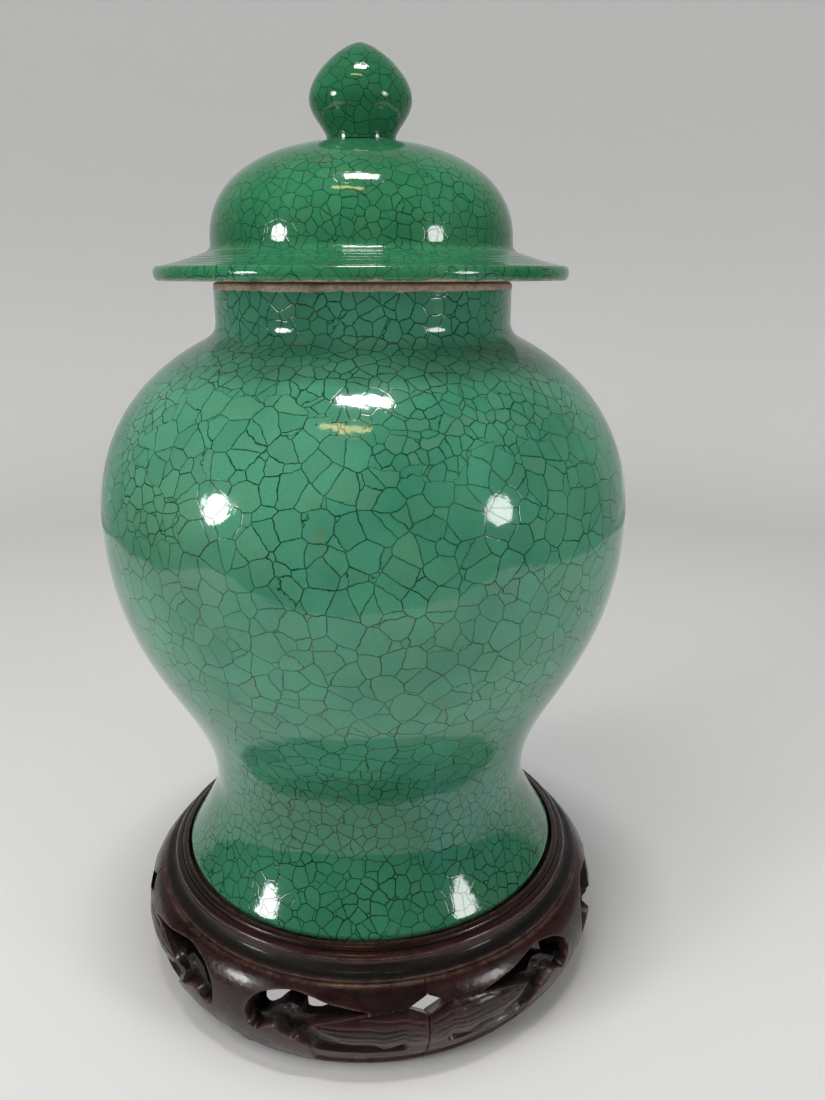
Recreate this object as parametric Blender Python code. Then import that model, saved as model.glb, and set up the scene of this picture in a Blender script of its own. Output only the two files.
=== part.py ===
"""A lidded baluster ginger jar of crackle-glazed stoneware on its carved round wood stand.

Units are metres and +Z is up. The origin is on the floor, on the axis of the jar, so every
height below is a height above the floor once the pieces are stacked. The stand's four glued
seams lie on the X and Y axes and its four legs on the diagonals. The lid lifts off the mouth
along +Z, and the jar lifts out of the stand's recess along +Z.
"""

from math import cos, hypot, pi, radians, sin

import bmesh
import bpy
from mathutils import Matrix, Vector

MM = 0.001

# Clearances
GAP = 0.3 * MM                  # between two pieces that touch
SPIGOT_PLAY = 0.35 * MM         # finial spigot in its socket, dowels in their holes

# Stand: feet and apron
LEGS = 4
PAD_H = 1.9 * MM                # foot pad under each leg
PAD_LENGTH = 14.0 * MM          # along the apron
PAD_DEPTH = 8.0 * MM            # towards the axis
PAD_SETBACK = 1.2 * MM          # behind the apron's lower edge
APRON_H = 29.6 * MM             # from the feet to the apron's top face
APRON_BULGE = 6.5 * MM          # how far the apron bulges past its upper edge
APRON_BULGE_H = 17.3 * MM       # height of the widest point above the apron's lower face
APRON_FOOT_OUT = 0.6 * MM       # lower edge past the upper edge
APRON_WALL = 8.0 * MM           # thickness of the hollowed apron
LEG_WALL = 14.5 * MM            # thickness at a leg
LEG_SPREAD = radians(9.0)       # half angle over which a leg thickens the wall
SEAM_HALF_ANGLE = radians(0.13)  # half of the glue line between two segments
LEDGE_DEPTH = 6.5 * MM          # how far the panel's ledge stands in
LEDGE_T = 2.5 * MM

# Stand: turned rim and panel
RIM_H = 7.6 * MM
RIM_PLAY = 1.2 * MM             # round the jar's foot
RIM_BEAD_W = 4.7 * MM           # from the recess to the outside of the beads
RIM_COVE_W = 4.1 * MM           # from the beads to the apron's upper edge
RIM_BEAD_H = 2.6 * MM           # how far the outer bead lies below the inner lip
RIM_FOOT_LIP = 0.9 * MM         # straight edge under the cove
RIM_FOOT_SETBACK = 0.3 * MM     # rim's lower edge behind the apron's
PANEL_T = 3.8 * MM
PANEL_LAP = 1.2 * MM            # the panel reaches this far under the rim

# Stand: dowels
SEAM_DOWEL_R = 1.5 * MM
SEAM_DOWEL_LENGTH = 8.0 * MM
SEAM_DOWEL_H = 13.8 * MM        # above the apron's lower face
RIM_DOWEL_R = 1.2 * MM
RIM_DOWEL_IN_LEG = 7.0 * MM
RIM_DOWEL_IN_RIM = 1.7 * MM

# Stand: carving. Outlines are (degrees from a seam, share of the apron's height) points.
CARVING_DEPTH = 3.6 * MM        # depth of a pocket at its shallow ends
POCKET = ((12.9, 0.790), (17.8, 0.834), (21.7, 0.861), (25.5, 0.899), (30.0, 0.922), (34.8, 0.885),
          (37.9, 0.821), (39.9, 0.720), (40.4, 0.608), (39.8, 0.493), (38.1, 0.436), (36.4, 0.486),
          (34.3, 0.534), (31.8, 0.493), (29.6, 0.443), (27.0, 0.473), (26.0, 0.595), (21.4, 0.676),
          (16.4, 0.733))
GROOVE = ((28.8, 0.453), (26.4, 0.358), (24.0, 0.270), (17.1, 0.257), (11.0, 0.250), (5.4, 0.247),
          (4.0, 0.324), (5.4, 0.395), (7.6, 0.372), (9.6, 0.351), (12.3, 0.419), (18.4, 0.436),
          (22.8, 0.514), (25.6, 0.628), (27.6, 0.561))
PIERCING = ((13.9, 0.787), (17.8, 0.821), (21.7, 0.848), (25.5, 0.882), (30.0, 0.905), (34.5, 0.868),
            (37.3, 0.804), (39.2, 0.703), (39.2, 0.561), (36.2, 0.595), (32.0, 0.730), (28.7, 0.740),
            (26.6, 0.662), (21.5, 0.709), (16.6, 0.757))
DIAMOND_HALF_ANGLE = 4.3        # degrees
DIAMOND_HALF_HEIGHT = 0.112     # share of the apron's height
DIAMOND_MIDDLE = 0.821
OUTLINE_STEPS = 2               # points per stretch of a carved outline
PIERCING_SLOPE = 0.15           # how far the through cuts fall towards the axis
DIAMOND_SLOPE = 0.7

# Jar
MOUTH_R = 46.4 * MM             # outside of the neck
NECK_H = 11.8 * MM              # straight part of the neck
NECK_FILLET_W = 4.6 * MM
NECK_FILLET_H = 6.0 * MM
SHOULDER_SLOPE = radians(27.0)
SHOULDER_REACH = 18.0 * MM
SHOULDER_H = 53.6 * MM          # from the widest point up to the neck's fillet
SHOULDER_FULLNESS = 29.0 * MM
BELLY_R = 85.0 * MM
BELLY_H = 129.6 * MM            # height of the widest point above the foot ring
BELLY_DROP = 50.0 * MM          # how long the belly stays full below its widest point
WAIST_R = 54.8 * MM
WAIST_H = 34.0 * MM
WAIST_RISE = 32.8 * MM
WAIST_DROP = 10.2 * MM
FOOT_R = 65.8 * MM
FOOT_H = 8.6 * MM               # widest point of the spread foot
FOOT_RISE = 0.6 * MM
FOOT_RING_SETBACK = 3.5 * MM    # behind the widest point of the foot
FOOT_RING_W = 6.0 * MM
FOOT_RING_H = 4.0 * MM          # how deep the base is cut in
FOOT_CURL_H = 5.2 * MM          # where the glazed side turns under
BASE_T = 6.0 * MM
WALL = 4.7 * MM
MOUTH_EDGE = 1.0 * MM

# Lid
FLANGE_W = 17.2 * MM            # past the dome
FLANGE_T = 4.1 * MM
FLANGE_RISE = 3.6 * MM          # slope of the flange's upper face up to the dome
DOME_H = 29.3 * MM
DOME_BASE_H = 10.6 * MM         # widest point of the dome above the flange's lower face
DOME_SQUARENESS = 2.3           # exponent of the dome's superellipse
DOME_FILLET = 2.6 * MM
DOME_WALL = 4.3 * MM
COLLAR_H = 9.0 * MM
COLLAR_T = 3.2 * MM
COLLAR_PLAY = 1.1 * MM          # between the collar and the neck's inside

# Finial
FINIAL_H = 26.4 * MM
FINIAL_R = 15.35 * MM
FINIAL_R_H = 10.8 * MM          # height of the widest point above the finial's base
FINIAL_NECK_R = 10.4 * MM
FINIAL_SPIGOT_R = 5.0 * MM
FINIAL_SPIGOT_L = 2.2 * MM
FINIAL_SHOULDER_DROP = 0.4 * MM  # the base follows the dome's crown

# Facets
ROUND_STEPS = 36
FINIAL_STEPS = 24
DOWEL_STEPS = 12
SEGMENT_STEPS = 20

# Radii that follow from the pieces they meet
DOME_R = MOUTH_R
FLANGE_R = DOME_R + FLANGE_W
FOOT_RING_R = FOOT_R - FOOT_RING_SETBACK
RIM_INNER_R = FOOT_R + RIM_PLAY
RIM_BEAD_R = RIM_INNER_R + RIM_BEAD_W
APRON_TOP_R = RIM_BEAD_R + RIM_COVE_W
APRON_FOOT_R = APRON_TOP_R + APRON_FOOT_OUT
APRON_BULGE_R = APRON_TOP_R + APRON_BULGE
PANEL_R = RIM_INNER_R + PANEL_LAP
REBATE_R = PANEL_R + GAP
RIM_DOWEL_AT = (REBATE_R + RIM_BEAD_R) / 2 + 0.7 * MM
SEAM_DOWEL_AT = APRON_BULGE_R - APRON_WALL / 2 - 0.7 * MM

# Heights above the floor
JAR_H = BELLY_H + SHOULDER_H + NECK_FILLET_H + NECK_H
APRON_Z = PAD_H + GAP
APRON_TOP_Z = APRON_Z + APRON_H
RIM_Z = APRON_TOP_Z + GAP
RIM_TOP_Z = RIM_Z + RIM_H
PANEL_TOP_Z = APRON_TOP_Z
PANEL_Z = PANEL_TOP_Z - PANEL_T
JAR_Z = PANEL_TOP_Z + GAP
MOUTH_Z = JAR_Z + JAR_H
LID_Z = MOUTH_Z + GAP
DOME_Z = LID_Z + DOME_BASE_H
DOME_TOP_Z = DOME_Z + DOME_H
FINIAL_Z = DOME_TOP_Z + GAP


def bezier(p0, p1, p2, p3, steps):
    """Points of a cubic curve, without its first one."""
    points = []
    for i in range(1, steps + 1):
        t = i / steps
        s = 1.0 - t
        weights = (s ** 3, 3.0 * s * s * t, 3.0 * s * t * t, t ** 3)
        points.append(tuple(sum(w * p[k] for w, p in zip(weights, (p0, p1, p2, p3))) for k in (0, 1)))
    return points


def offset_outline(points, distance):
    """An outline moved sideways, towards the axis where it runs downwards."""
    moved = []
    last = len(points) - 1
    for i, (r, z) in enumerate(points):
        before = points[max(i - 1, 0)]
        after = points[min(i + 1, last)]
        run_r = after[0] - before[0]
        run_z = after[1] - before[1]
        length = hypot(run_r, run_z)
        moved.append((r + run_z / length * distance, z - run_r / length * distance))
    return moved


def principled(name, colour, roughness, coat):
    material = bpy.data.materials.new(name)
    material.use_nodes = True
    shader = material.node_tree.nodes["Principled BSDF"]
    shader.inputs["Base Color"].default_value = (*colour, 1.0)
    shader.inputs["Roughness"].default_value = roughness
    shader.inputs["Metallic"].default_value = 0.0
    shader.inputs["Coat Weight"].default_value = coat
    material.diffuse_color = (*colour, 1.0)
    return material


def finish_mesh(bm, name):
    bmesh.ops.remove_doubles(bm, verts=bm.verts, dist=0.0005 * MM)
    bmesh.ops.recalc_face_normals(bm, faces=bm.faces)
    mesh = bpy.data.meshes.new(name)
    bm.to_mesh(mesh)
    bm.free()
    mesh.shade_smooth()
    mesh.set_sharp_from_angle(angle=radians(38.0))
    return mesh


def turned_mesh(name, outline, steps):
    """A turned solid. An outline that starts and ends on the axis is closed by the axis itself."""
    bm = bmesh.new()
    verts = [bm.verts.new((r, 0.0, z)) for r, z in outline]
    edges = [bm.edges.new(pair) for pair in zip(verts, verts[1:])]
    on_axis = outline[0][0] == 0.0 and outline[-1][0] == 0.0
    if not on_axis:
        edges.append(bm.edges.new((verts[-1], verts[0])))
    bmesh.ops.spin(bm, geom=verts + edges, cent=(0.0, 0.0, 0.0), axis=(0.0, 0.0, 1.0),
                   dvec=(0.0, 0.0, 0.0), angle=2.0 * pi, steps=steps, use_merge=True)
    return finish_mesh(bm, name)


def place(name, mesh, material, location=(0.0, 0.0, 0.0), turn=0.0, parent=None):
    if not mesh.materials:
        mesh.materials.append(material)
    piece = bpy.data.objects.new(name, mesh)
    bpy.context.scene.collection.objects.link(piece)
    piece.location = location
    piece.rotation_euler = (0.0, 0.0, turn)
    piece.parent = parent
    return piece


def empty(name, height, parent=None):
    """A body's own frame, on the axis that it lifts along."""
    frame = bpy.data.objects.new(name, None)
    bpy.context.scene.collection.objects.link(frame)
    frame.parent = parent
    base = parent.location.z if parent else 0.0
    frame.location = (0.0, 0.0, height - base)
    return frame


# Ceramics

def jar_outside():
    """The glazed side from the mouth's outer edge down to where the foot turns under."""
    neck_foot = (MOUTH_R, JAR_H - NECK_H)
    fillet_end = (MOUTH_R + NECK_FILLET_W, JAR_H - NECK_H - NECK_FILLET_H)
    shoulder_pull = (fillet_end[0] + SHOULDER_REACH * cos(SHOULDER_SLOPE),
                     fillet_end[1] - SHOULDER_REACH * sin(SHOULDER_SLOPE))
    belly = (BELLY_R, BELLY_H)
    waist = (WAIST_R, WAIST_H)
    foot = (FOOT_R, FOOT_H)
    points = [(MOUTH_R, JAR_H - MOUTH_EDGE), neck_foot]
    points += bezier(neck_foot, (MOUTH_R, neck_foot[1] - NECK_FILLET_H / 2),
                     (MOUTH_R + NECK_FILLET_W / 3, fillet_end[1] + NECK_FILLET_H / 4), fillet_end, 3)
    points += bezier(fillet_end, shoulder_pull, (BELLY_R, BELLY_H + SHOULDER_FULLNESS), belly, 7)
    points += bezier(belly, (BELLY_R, BELLY_H - BELLY_DROP), (WAIST_R, WAIST_H + WAIST_RISE), waist, 9)
    points += bezier(waist, (WAIST_R, WAIST_H - WAIST_DROP), (FOOT_R, FOOT_H + FOOT_RISE), foot, 4)
    return points


def jar_outline():
    outside = jar_outside()
    ring_inner = FOOT_RING_R - FOOT_RING_W
    floor = FOOT_RING_H + BASE_T
    inside = [p for p in offset_outline(outside, WALL) if floor + WALL < p[1] < JAR_H - 2.0 * MOUTH_EDGE]
    corner = inside[-1]
    under = bezier(outside[-1], (FOOT_R, FOOT_H - 1.8 * MM), (FOOT_R - 0.8 * MM, FOOT_CURL_H + 0.6 * MM),
                   (FOOT_RING_R + 1.0 * MM, FOOT_CURL_H), 3)
    ring = [(FOOT_RING_R, FOOT_CURL_H - 1.0 * MM), (FOOT_RING_R, 0.8 * MM), (FOOT_RING_R - 0.8 * MM, 0.0),
            (ring_inner, 0.0), (ring_inner - 0.8 * MM, FOOT_RING_H), (0.0, FOOT_RING_H)]
    mouth = [(MOUTH_R - WALL, JAR_H - MOUTH_EDGE), (MOUTH_R - WALL + MOUTH_EDGE, JAR_H),
             (MOUTH_R - MOUTH_EDGE, JAR_H)]
    well = bezier((0.0, floor), (corner[0] * 0.6, floor), (corner[0] - 0.5 * MM, floor), corner, 4)
    return [(0.0, floor)] + well + inside[-2::-1] + mouth + outside + under + ring


def dome_arc(radius, height, steps, top_r):
    """A superellipse from the dome's widest point up to top_r."""
    power = DOME_SQUARENESS
    points = []
    for i in range(steps + 1):
        r = radius - (radius - top_r) * (1.0 - cos(0.5 * pi * i / steps))
        z = height * (1.0 - (r / radius) ** power) ** (1.0 / power)
        points.append((r, DOME_BASE_H + z))
    return points


def lid_outline():
    socket_r = FINIAL_SPIGOT_R + SPIGOT_PLAY
    crown = DOME_BASE_H + DOME_H
    socket_floor = crown - FINIAL_SPIGOT_L
    collar_r = MOUTH_R - WALL - COLLAR_PLAY
    half = FLANGE_T / 2
    edge = [(FLANGE_R - half * 0.6, 0.0), (FLANGE_R - half * 0.15, half * 0.4), (FLANGE_R, half),
            (FLANGE_R - half * 0.15, half * 1.6), (FLANGE_R - half * 0.6, FLANGE_T)]
    slope_end = (DOME_R + DOME_FILLET, FLANGE_T + FLANGE_RISE)
    fillet = bezier(slope_end, (DOME_R + DOME_FILLET / 3, slope_end[1] + 0.5 * MM),
                    (DOME_R, DOME_BASE_H - DOME_FILLET / 2), (DOME_R, DOME_BASE_H), 3)
    outside = dome_arc(DOME_R, DOME_H, 9, socket_r)[1:]
    inner_r = DOME_R - DOME_WALL
    hollow = dome_arc(inner_r, DOME_H - DOME_WALL, 7, 0.0)
    collar = [(collar_r - COLLAR_T, DOME_BASE_H - DOME_FILLET), (collar_r - COLLAR_T, -COLLAR_H + 0.8 * MM),
              (collar_r - COLLAR_T + 0.8 * MM, -COLLAR_H), (collar_r - 0.8 * MM, -COLLAR_H),
              (collar_r, -COLLAR_H + 0.8 * MM), (collar_r, 0.0)]
    return ([(0.0, socket_floor), (socket_r, socket_floor)] + outside[::-1] + fillet[::-1] + [slope_end]
            + edge[::-1] + collar[::-1] + hollow)


def finial_outline():
    waist = (FINIAL_NECK_R, FINIAL_SHOULDER_DROP)
    widest = (FINIAL_R, FINIAL_R_H)
    tip = (0.0, FINIAL_H)
    points = [(0.0, -FINIAL_SPIGOT_L + GAP), (FINIAL_SPIGOT_R, -FINIAL_SPIGOT_L + GAP),
              (FINIAL_SPIGOT_R, 0.0), (FINIAL_NECK_R, -FINIAL_SHOULDER_DROP), waist]
    points += bezier(waist, (FINIAL_NECK_R, FINIAL_R_H * 0.25), (FINIAL_R, FINIAL_R_H * 0.6), widest, 5)
    points += bezier(widest, (FINIAL_R, FINIAL_R_H + (FINIAL_H - FINIAL_R_H) * 0.42),
                     (FINIAL_R * 0.40, FINIAL_H * 0.955), tip, 8)
    return points


# Stand, turned pieces

def rim_outline():
    """A double bead that slopes outwards, over a cove, round the recess for the jar's foot."""
    lip_r = RIM_INNER_R + 0.5 * MM
    bead_z = RIM_H - RIM_BEAD_H
    groove_r = (RIM_INNER_R + RIM_BEAD_R) / 2
    groove_z = RIM_H - RIM_BEAD_H * 0.52
    foot_r = APRON_TOP_R - RIM_FOOT_SETBACK
    inner_bead = bezier((lip_r, RIM_H), (lip_r + 0.9 * MM, RIM_H + 0.1 * MM), (groove_r - 0.2 * MM, RIM_H - 0.2 * MM),
                        (groove_r, groove_z), 3)
    outer_bead = bezier((groove_r, groove_z), (groove_r + 1.0 * MM, groove_z + 0.5 * MM),
                        (RIM_BEAD_R, bead_z + 0.9 * MM), (RIM_BEAD_R, bead_z), 3)
    cove = bezier((RIM_BEAD_R - 0.3 * MM, bead_z - 0.5 * MM), (RIM_BEAD_R - 0.2 * MM, bead_z * 0.45),
                  (RIM_BEAD_R + 1.2 * MM, RIM_FOOT_LIP * 1.2), (foot_r, RIM_FOOT_LIP), 4)
    return ([(RIM_INNER_R, 0.0), (RIM_INNER_R, RIM_H - 0.4 * MM), (lip_r, RIM_H)] + inner_bead + outer_bead
            + [(RIM_BEAD_R - 0.3 * MM, bead_z - 0.5 * MM)] + cove + [(foot_r, 0.0)])


def panel_outline():
    chamfer = 0.5 * MM
    return [(0.0, 0.0), (PANEL_R, 0.0), (PANEL_R, PANEL_T - chamfer), (PANEL_R - chamfer, PANEL_T), (0.0, PANEL_T)]


def dowel_outline(radius, length):
    chamfer = 0.3 * MM
    return [(0.0, 0.0), (radius - chamfer, 0.0), (radius, chamfer), (radius, length - chamfer),
            (radius - chamfer, length), (0.0, length)]


# Stand, carved segments

def wall_thickness(angle):
    """The apron's wall is thin between the legs and thick at the leg in its middle."""
    nearness = max(0.0, 1.0 - abs(angle - pi / LEGS) / LEG_SPREAD)
    eased = nearness * nearness * (3.0 - 2.0 * nearness)
    return APRON_WALL + (LEG_WALL - APRON_WALL) * eased


def apron_section(angle):
    """Closed (radius, height) outline of the apron at an angle from its first seam."""
    wall = wall_thickness(angle)
    bulge = (APRON_BULGE_R, APRON_BULGE_H)
    top = (APRON_TOP_R, APRON_H)
    foot = (APRON_FOOT_R, 0.8 * MM)
    upper_rise = (APRON_H - APRON_BULGE_H) * 0.42
    upper = bezier(top, (APRON_TOP_R + 3.4 * MM, APRON_H - 1.9 * MM), (APRON_BULGE_R, APRON_BULGE_H + upper_rise),
                   bulge, 5)
    lower = bezier(bulge, (APRON_BULGE_R, APRON_BULGE_H * 0.55), (APRON_FOOT_R + 3.1 * MM, 4.6 * MM), foot, 5)
    inner_r = APRON_BULGE_R - wall
    ledge_top = PANEL_Z - GAP - APRON_Z
    ledge_r = REBATE_R - LEDGE_DEPTH
    under = ledge_top - LEDGE_T
    inside = [(APRON_FOOT_R - 0.8 * MM, 0.0), (inner_r - 3.6 * MM, 0.0), (inner_r - 1.2 * MM, APRON_H * 0.20),
              (inner_r, APRON_H * 0.45), (inner_r - 0.4 * MM, under - 4.0 * MM),
              (ledge_r + 4.0 * MM, under - 0.8 * MM), (ledge_r, under), (ledge_r, ledge_top), (REBATE_R, ledge_top),
              (REBATE_R, APRON_H)]
    return [top] + upper + lower + inside


def segment_blank():
    """A quarter of the apron with one leg in its middle, before it is carved."""
    bm = bmesh.new()
    first = SEAM_HALF_ANGLE
    span = 2.0 * pi / LEGS - 2.0 * SEAM_HALF_ANGLE
    loops = []
    for i in range(SEGMENT_STEPS + 1):
        angle = first + span * i / SEGMENT_STEPS
        loops.append([bm.verts.new((r * cos(angle), r * sin(angle), z)) for r, z in apron_section(angle)])
    for loop, following in zip(loops, loops[1:]):
        for i in range(len(loop)):
            j = (i + 1) % len(loop)
            bm.faces.new((loop[i], loop[j], following[j], following[i]))
    bm.faces.new(loops[0])
    bm.faces.new(loops[-1])
    return finish_mesh(bm, "segment_blank")


def smooth_outline(points, steps):
    """A closed curve through all the points, with steps points for each stretch."""
    count = len(points)
    curve = []
    for i in range(count):
        a, b, c, d = (points[(i + k) % count] for k in (-1, 0, 1, 2))
        for step in range(steps):
            t = step / steps
            curve.append(tuple(0.5 * (2.0 * b[k] + (c[k] - a[k]) * t
                                      + (2.0 * a[k] - 5.0 * b[k] + 4.0 * c[k] - d[k]) * t * t
                                      + (3.0 * b[k] - a[k] - 3.0 * c[k] + d[k]) * t ** 3) for k in (0, 1)))
    return curve


def add_prism(bm, outline, middle, near, far, slope=0.0):
    """A straight prism that points at the axis, falling by slope on its way there.

    Its outline is (degrees, height) on the carved face, as seen from outside.
    """
    face_r = APRON_BULGE_R - 2.0 * MM
    out = Vector((cos(middle), sin(middle), 0.0))
    side = Vector((-sin(middle), cos(middle), 0.0))
    rings = []
    for distance in (near, far):
        ring = []
        for degrees, height in outline:
            across = APRON_BULGE_R * sin(radians(degrees) - middle)
            fall = slope * (face_r - distance)
            ring.append(bm.verts.new(out * distance + side * across + Vector((0.0, 0.0, height - fall))))
        rings.append(ring)
    count = len(outline)
    for i in range(count):
        j = (i + 1) % count
        bm.faces.new((rings[0][i], rings[0][j], rings[1][j], rings[1][i]))
    bm.faces.new(rings[0])
    bm.faces.new(rings[1])


def both_hands(points):
    """An outline beside the segment's first seam, and its mirror image beside the second."""
    sized = [(degrees, share * APRON_H) for degrees, share in points]
    right = 360.0 / LEGS
    return sized, [(right - degrees, height) for degrees, height in reversed(sized)]


def outline_middle(outline):
    angles = [degrees for degrees, height in outline]
    return radians((min(angles) + max(angles)) / 2), radians((max(angles) - min(angles)) / 2)


def carving_cutter(name, outlines, through):
    """Prisms that cut the carving, either right through the wall or to the pockets' floor."""
    bm = bmesh.new()
    far = APRON_BULGE_R + 4.0 * MM
    for points in outlines:
        for outline in both_hands(points):
            middle, half = outline_middle(outline)
            floor = APRON_BULGE_R * cos(half) - CARVING_DEPTH
            near = REBATE_R + 1.0 * MM if through else floor
            slope = PIERCING_SLOPE if through else 0.0
            add_prism(bm, smooth_outline(outline, OUTLINE_STEPS), middle, near, far, slope)
    return cutter(name, finish_mesh(bm, name))


def diamond_cutter():
    """Half of the diamond hole that each seam runs through, at both ends of the segment."""
    corners = ((-1.5, DIAMOND_MIDDLE - DIAMOND_HALF_HEIGHT), (0.0, DIAMOND_MIDDLE - DIAMOND_HALF_HEIGHT),
               (DIAMOND_HALF_ANGLE, DIAMOND_MIDDLE), (0.0, DIAMOND_MIDDLE + DIAMOND_HALF_HEIGHT),
               (-1.5, DIAMOND_MIDDLE + DIAMOND_HALF_HEIGHT))
    bm = bmesh.new()
    for outline in both_hands(corners):
        middle = 0.0 if outline[0][0] < 45.0 else 2.0 * pi / LEGS
        add_prism(bm, outline, middle, REBATE_R + 1.0 * MM, APRON_BULGE_R + 4.0 * MM, DIAMOND_SLOPE)
    return cutter("diamond_cutter", finish_mesh(bm, "diamond_cutter"))


def drill(bm, radius, length, start, direction):
    """A round hole of a given length from start along direction."""
    turn = Vector((0.0, 0.0, 1.0)).rotation_difference(direction).to_matrix().to_4x4()
    centre = start + direction * (length / 2)
    bmesh.ops.create_cone(bm, cap_ends=True, segments=DOWEL_STEPS, radius1=radius, radius2=radius, depth=length,
                          matrix=Matrix.Translation(centre) @ turn)


def seam_place(seam_angle):
    """Middle of a seam's dowel, and the direction that the dowel runs in."""
    middle = Vector((SEAM_DOWEL_AT * cos(seam_angle), SEAM_DOWEL_AT * sin(seam_angle), SEAM_DOWEL_H))
    return middle, Vector((-sin(seam_angle), cos(seam_angle), 0.0))


def segment_hole_cutter():
    bm = bmesh.new()
    radius = SEAM_DOWEL_R + SPIGOT_PLAY
    length = SEAM_DOWEL_LENGTH + 2.0 * GAP
    for seam_angle in (0.0, 2.0 * pi / LEGS):
        middle, direction = seam_place(seam_angle)
        drill(bm, radius, length, middle - direction * (length / 2), direction)
    top = leg_point(0, APRON_H + 1.0 * MM)
    drill(bm, RIM_DOWEL_R + SPIGOT_PLAY, RIM_DOWEL_IN_LEG + GAP + 1.0 * MM, top, Vector((0.0, 0.0, -1.0)))
    return cutter("segment_hole_cutter", finish_mesh(bm, "segment_hole_cutter"))


def rim_hole_cutter():
    bm = bmesh.new()
    depth = RIM_DOWEL_IN_RIM + GAP
    for leg in range(LEGS):
        drill(bm, RIM_DOWEL_R + SPIGOT_PLAY, depth + 1.0 * MM, leg_point(leg, -1.0 * MM), Vector((0.0, 0.0, 1.0)))
    piece = cutter("rim_hole_cutter", finish_mesh(bm, "rim_hole_cutter"))
    piece.location.z = RIM_Z
    return piece


def leg_point(leg, height):
    angle = (leg + 0.5) * 2.0 * pi / LEGS
    return Vector((RIM_DOWEL_AT * cos(angle), RIM_DOWEL_AT * sin(angle), height))


def cutter(name, mesh):
    piece = bpy.data.objects.new(name, mesh)
    bpy.context.scene.collection.objects.link(piece)
    piece.hide_render = True
    piece.display_type = "WIRE"
    return piece


def subtract(piece, tools):
    for tool in tools:
        modifier = piece.modifiers.new(tool.name, "BOOLEAN")
        modifier.operation = "DIFFERENCE"
        modifier.solver = "EXACT"
        modifier.object = tool


def settled_mesh(piece, name):
    """The piece's mesh with its modifiers worked out, for other pieces to share."""
    bpy.context.view_layer.update()
    depsgraph = bpy.context.evaluated_depsgraph_get()
    mesh = bpy.data.meshes.new_from_object(piece.evaluated_get(depsgraph))
    mesh.name = name
    return mesh


def carved_segment_mesh():
    blank = bpy.data.objects.new("segment_blank", segment_blank())
    bpy.context.scene.collection.objects.link(blank)
    tools = [carving_cutter("pocket_cutter", (POCKET,), through=False),
             carving_cutter("groove_cutter", (GROOVE,), through=False),
             carving_cutter("piercing_cutter", (PIERCING,), through=True),
             diamond_cutter(), segment_hole_cutter()]
    subtract(blank, tools)
    mesh = settled_mesh(blank, "stand_segment")
    for piece in [blank] + tools:
        bpy.data.objects.remove(piece)
    mesh.shade_smooth()
    mesh.set_sharp_from_angle(angle=radians(38.0))
    return mesh


def pad_mesh():
    """An oval foot with a bevelled lower edge, centred under its leg."""
    bm = bmesh.new()
    bmesh.ops.create_cone(bm, cap_ends=True, segments=DOWEL_STEPS * 2, radius1=0.5, radius2=0.5, depth=1.0)
    bmesh.ops.scale(bm, vec=(PAD_DEPTH, PAD_LENGTH, PAD_H), verts=bm.verts)
    bmesh.ops.translate(bm, vec=(0.0, 0.0, PAD_H / 2), verts=bm.verts)
    lower = [edge for edge in bm.edges if all(v.co.z < PAD_H / 4 for v in edge.verts)]
    bmesh.ops.bevel(bm, geom=lower, offset=PAD_H * 0.4, segments=2, profile=0.5, affect="EDGES")
    return finish_mesh(bm, "foot_pad")


def clear_scene():
    for piece in list(bpy.data.objects):
        bpy.data.objects.remove(piece, do_unlink=True)


def build_stand(body):
    dark = principled("rosewood", (0.060, 0.022, 0.018), 0.28, 0.5)
    plain = principled("plain_wood", (0.150, 0.085, 0.048), 0.60, 0.0)
    quarter = 2.0 * pi / LEGS
    rim = place("stand_rim", turned_mesh("stand_rim", rim_outline(), ROUND_STEPS), dark, (0.0, 0.0, RIM_Z),
                parent=body)
    subtract(rim, [rim_hole_cutter()])
    place("stand_panel", turned_mesh("stand_panel", panel_outline(), ROUND_STEPS), plain, (0.0, 0.0, PANEL_Z),
          parent=body)
    segment = carved_segment_mesh()
    pad = pad_mesh()
    rim_dowel = turned_mesh("rim_dowel", dowel_outline(RIM_DOWEL_R, RIM_DOWEL_IN_LEG + GAP + RIM_DOWEL_IN_RIM),
                            DOWEL_STEPS)
    seam_dowel = turned_mesh("seam_dowel", dowel_outline(SEAM_DOWEL_R, SEAM_DOWEL_LENGTH), DOWEL_STEPS)
    pad_at = APRON_FOOT_R - PAD_SETBACK - PAD_DEPTH / 2
    for k in range(LEGS):
        number = str(k + 1)
        angle = k * quarter
        leg = angle + quarter / 2
        place("stand_segment_" + number, segment, dark, (0.0, 0.0, APRON_Z), angle, body)
        place("foot_pad_" + number, pad, dark, (pad_at * cos(leg), pad_at * sin(leg), 0.0), leg, body)
        place("rim_dowel_" + number, rim_dowel, plain, leg_point(k, APRON_TOP_Z - RIM_DOWEL_IN_LEG), leg, body)
        middle, direction = seam_place(angle)
        middle.z += APRON_Z
        dowel = place("seam_dowel_" + number, seam_dowel, plain, middle - direction * (SEAM_DOWEL_LENGTH / 2),
                      parent=body)
        dowel.rotation_euler = (-pi / 2, 0.0, angle)


def build_ceramics(stand_body):
    glaze = principled("green_glaze", (0.035, 0.270, 0.125), 0.08, 1.0)
    jar_body = empty("jar_frame", JAR_Z, stand_body)
    lid_body = empty("lid_frame", LID_Z, jar_body)
    place("jar_body", turned_mesh("jar_body", jar_outline(), ROUND_STEPS), glaze, parent=jar_body)
    place("lid", turned_mesh("lid", lid_outline(), ROUND_STEPS), glaze, parent=lid_body)
    place("lid_finial", turned_mesh("lid_finial", finial_outline(), FINIAL_STEPS), glaze,
          (0.0, 0.0, FINIAL_Z - LID_Z), parent=lid_body)


clear_scene()
stand = empty("stand_frame", 0.0)
build_stand(stand)
build_ceramics(stand)
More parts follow.
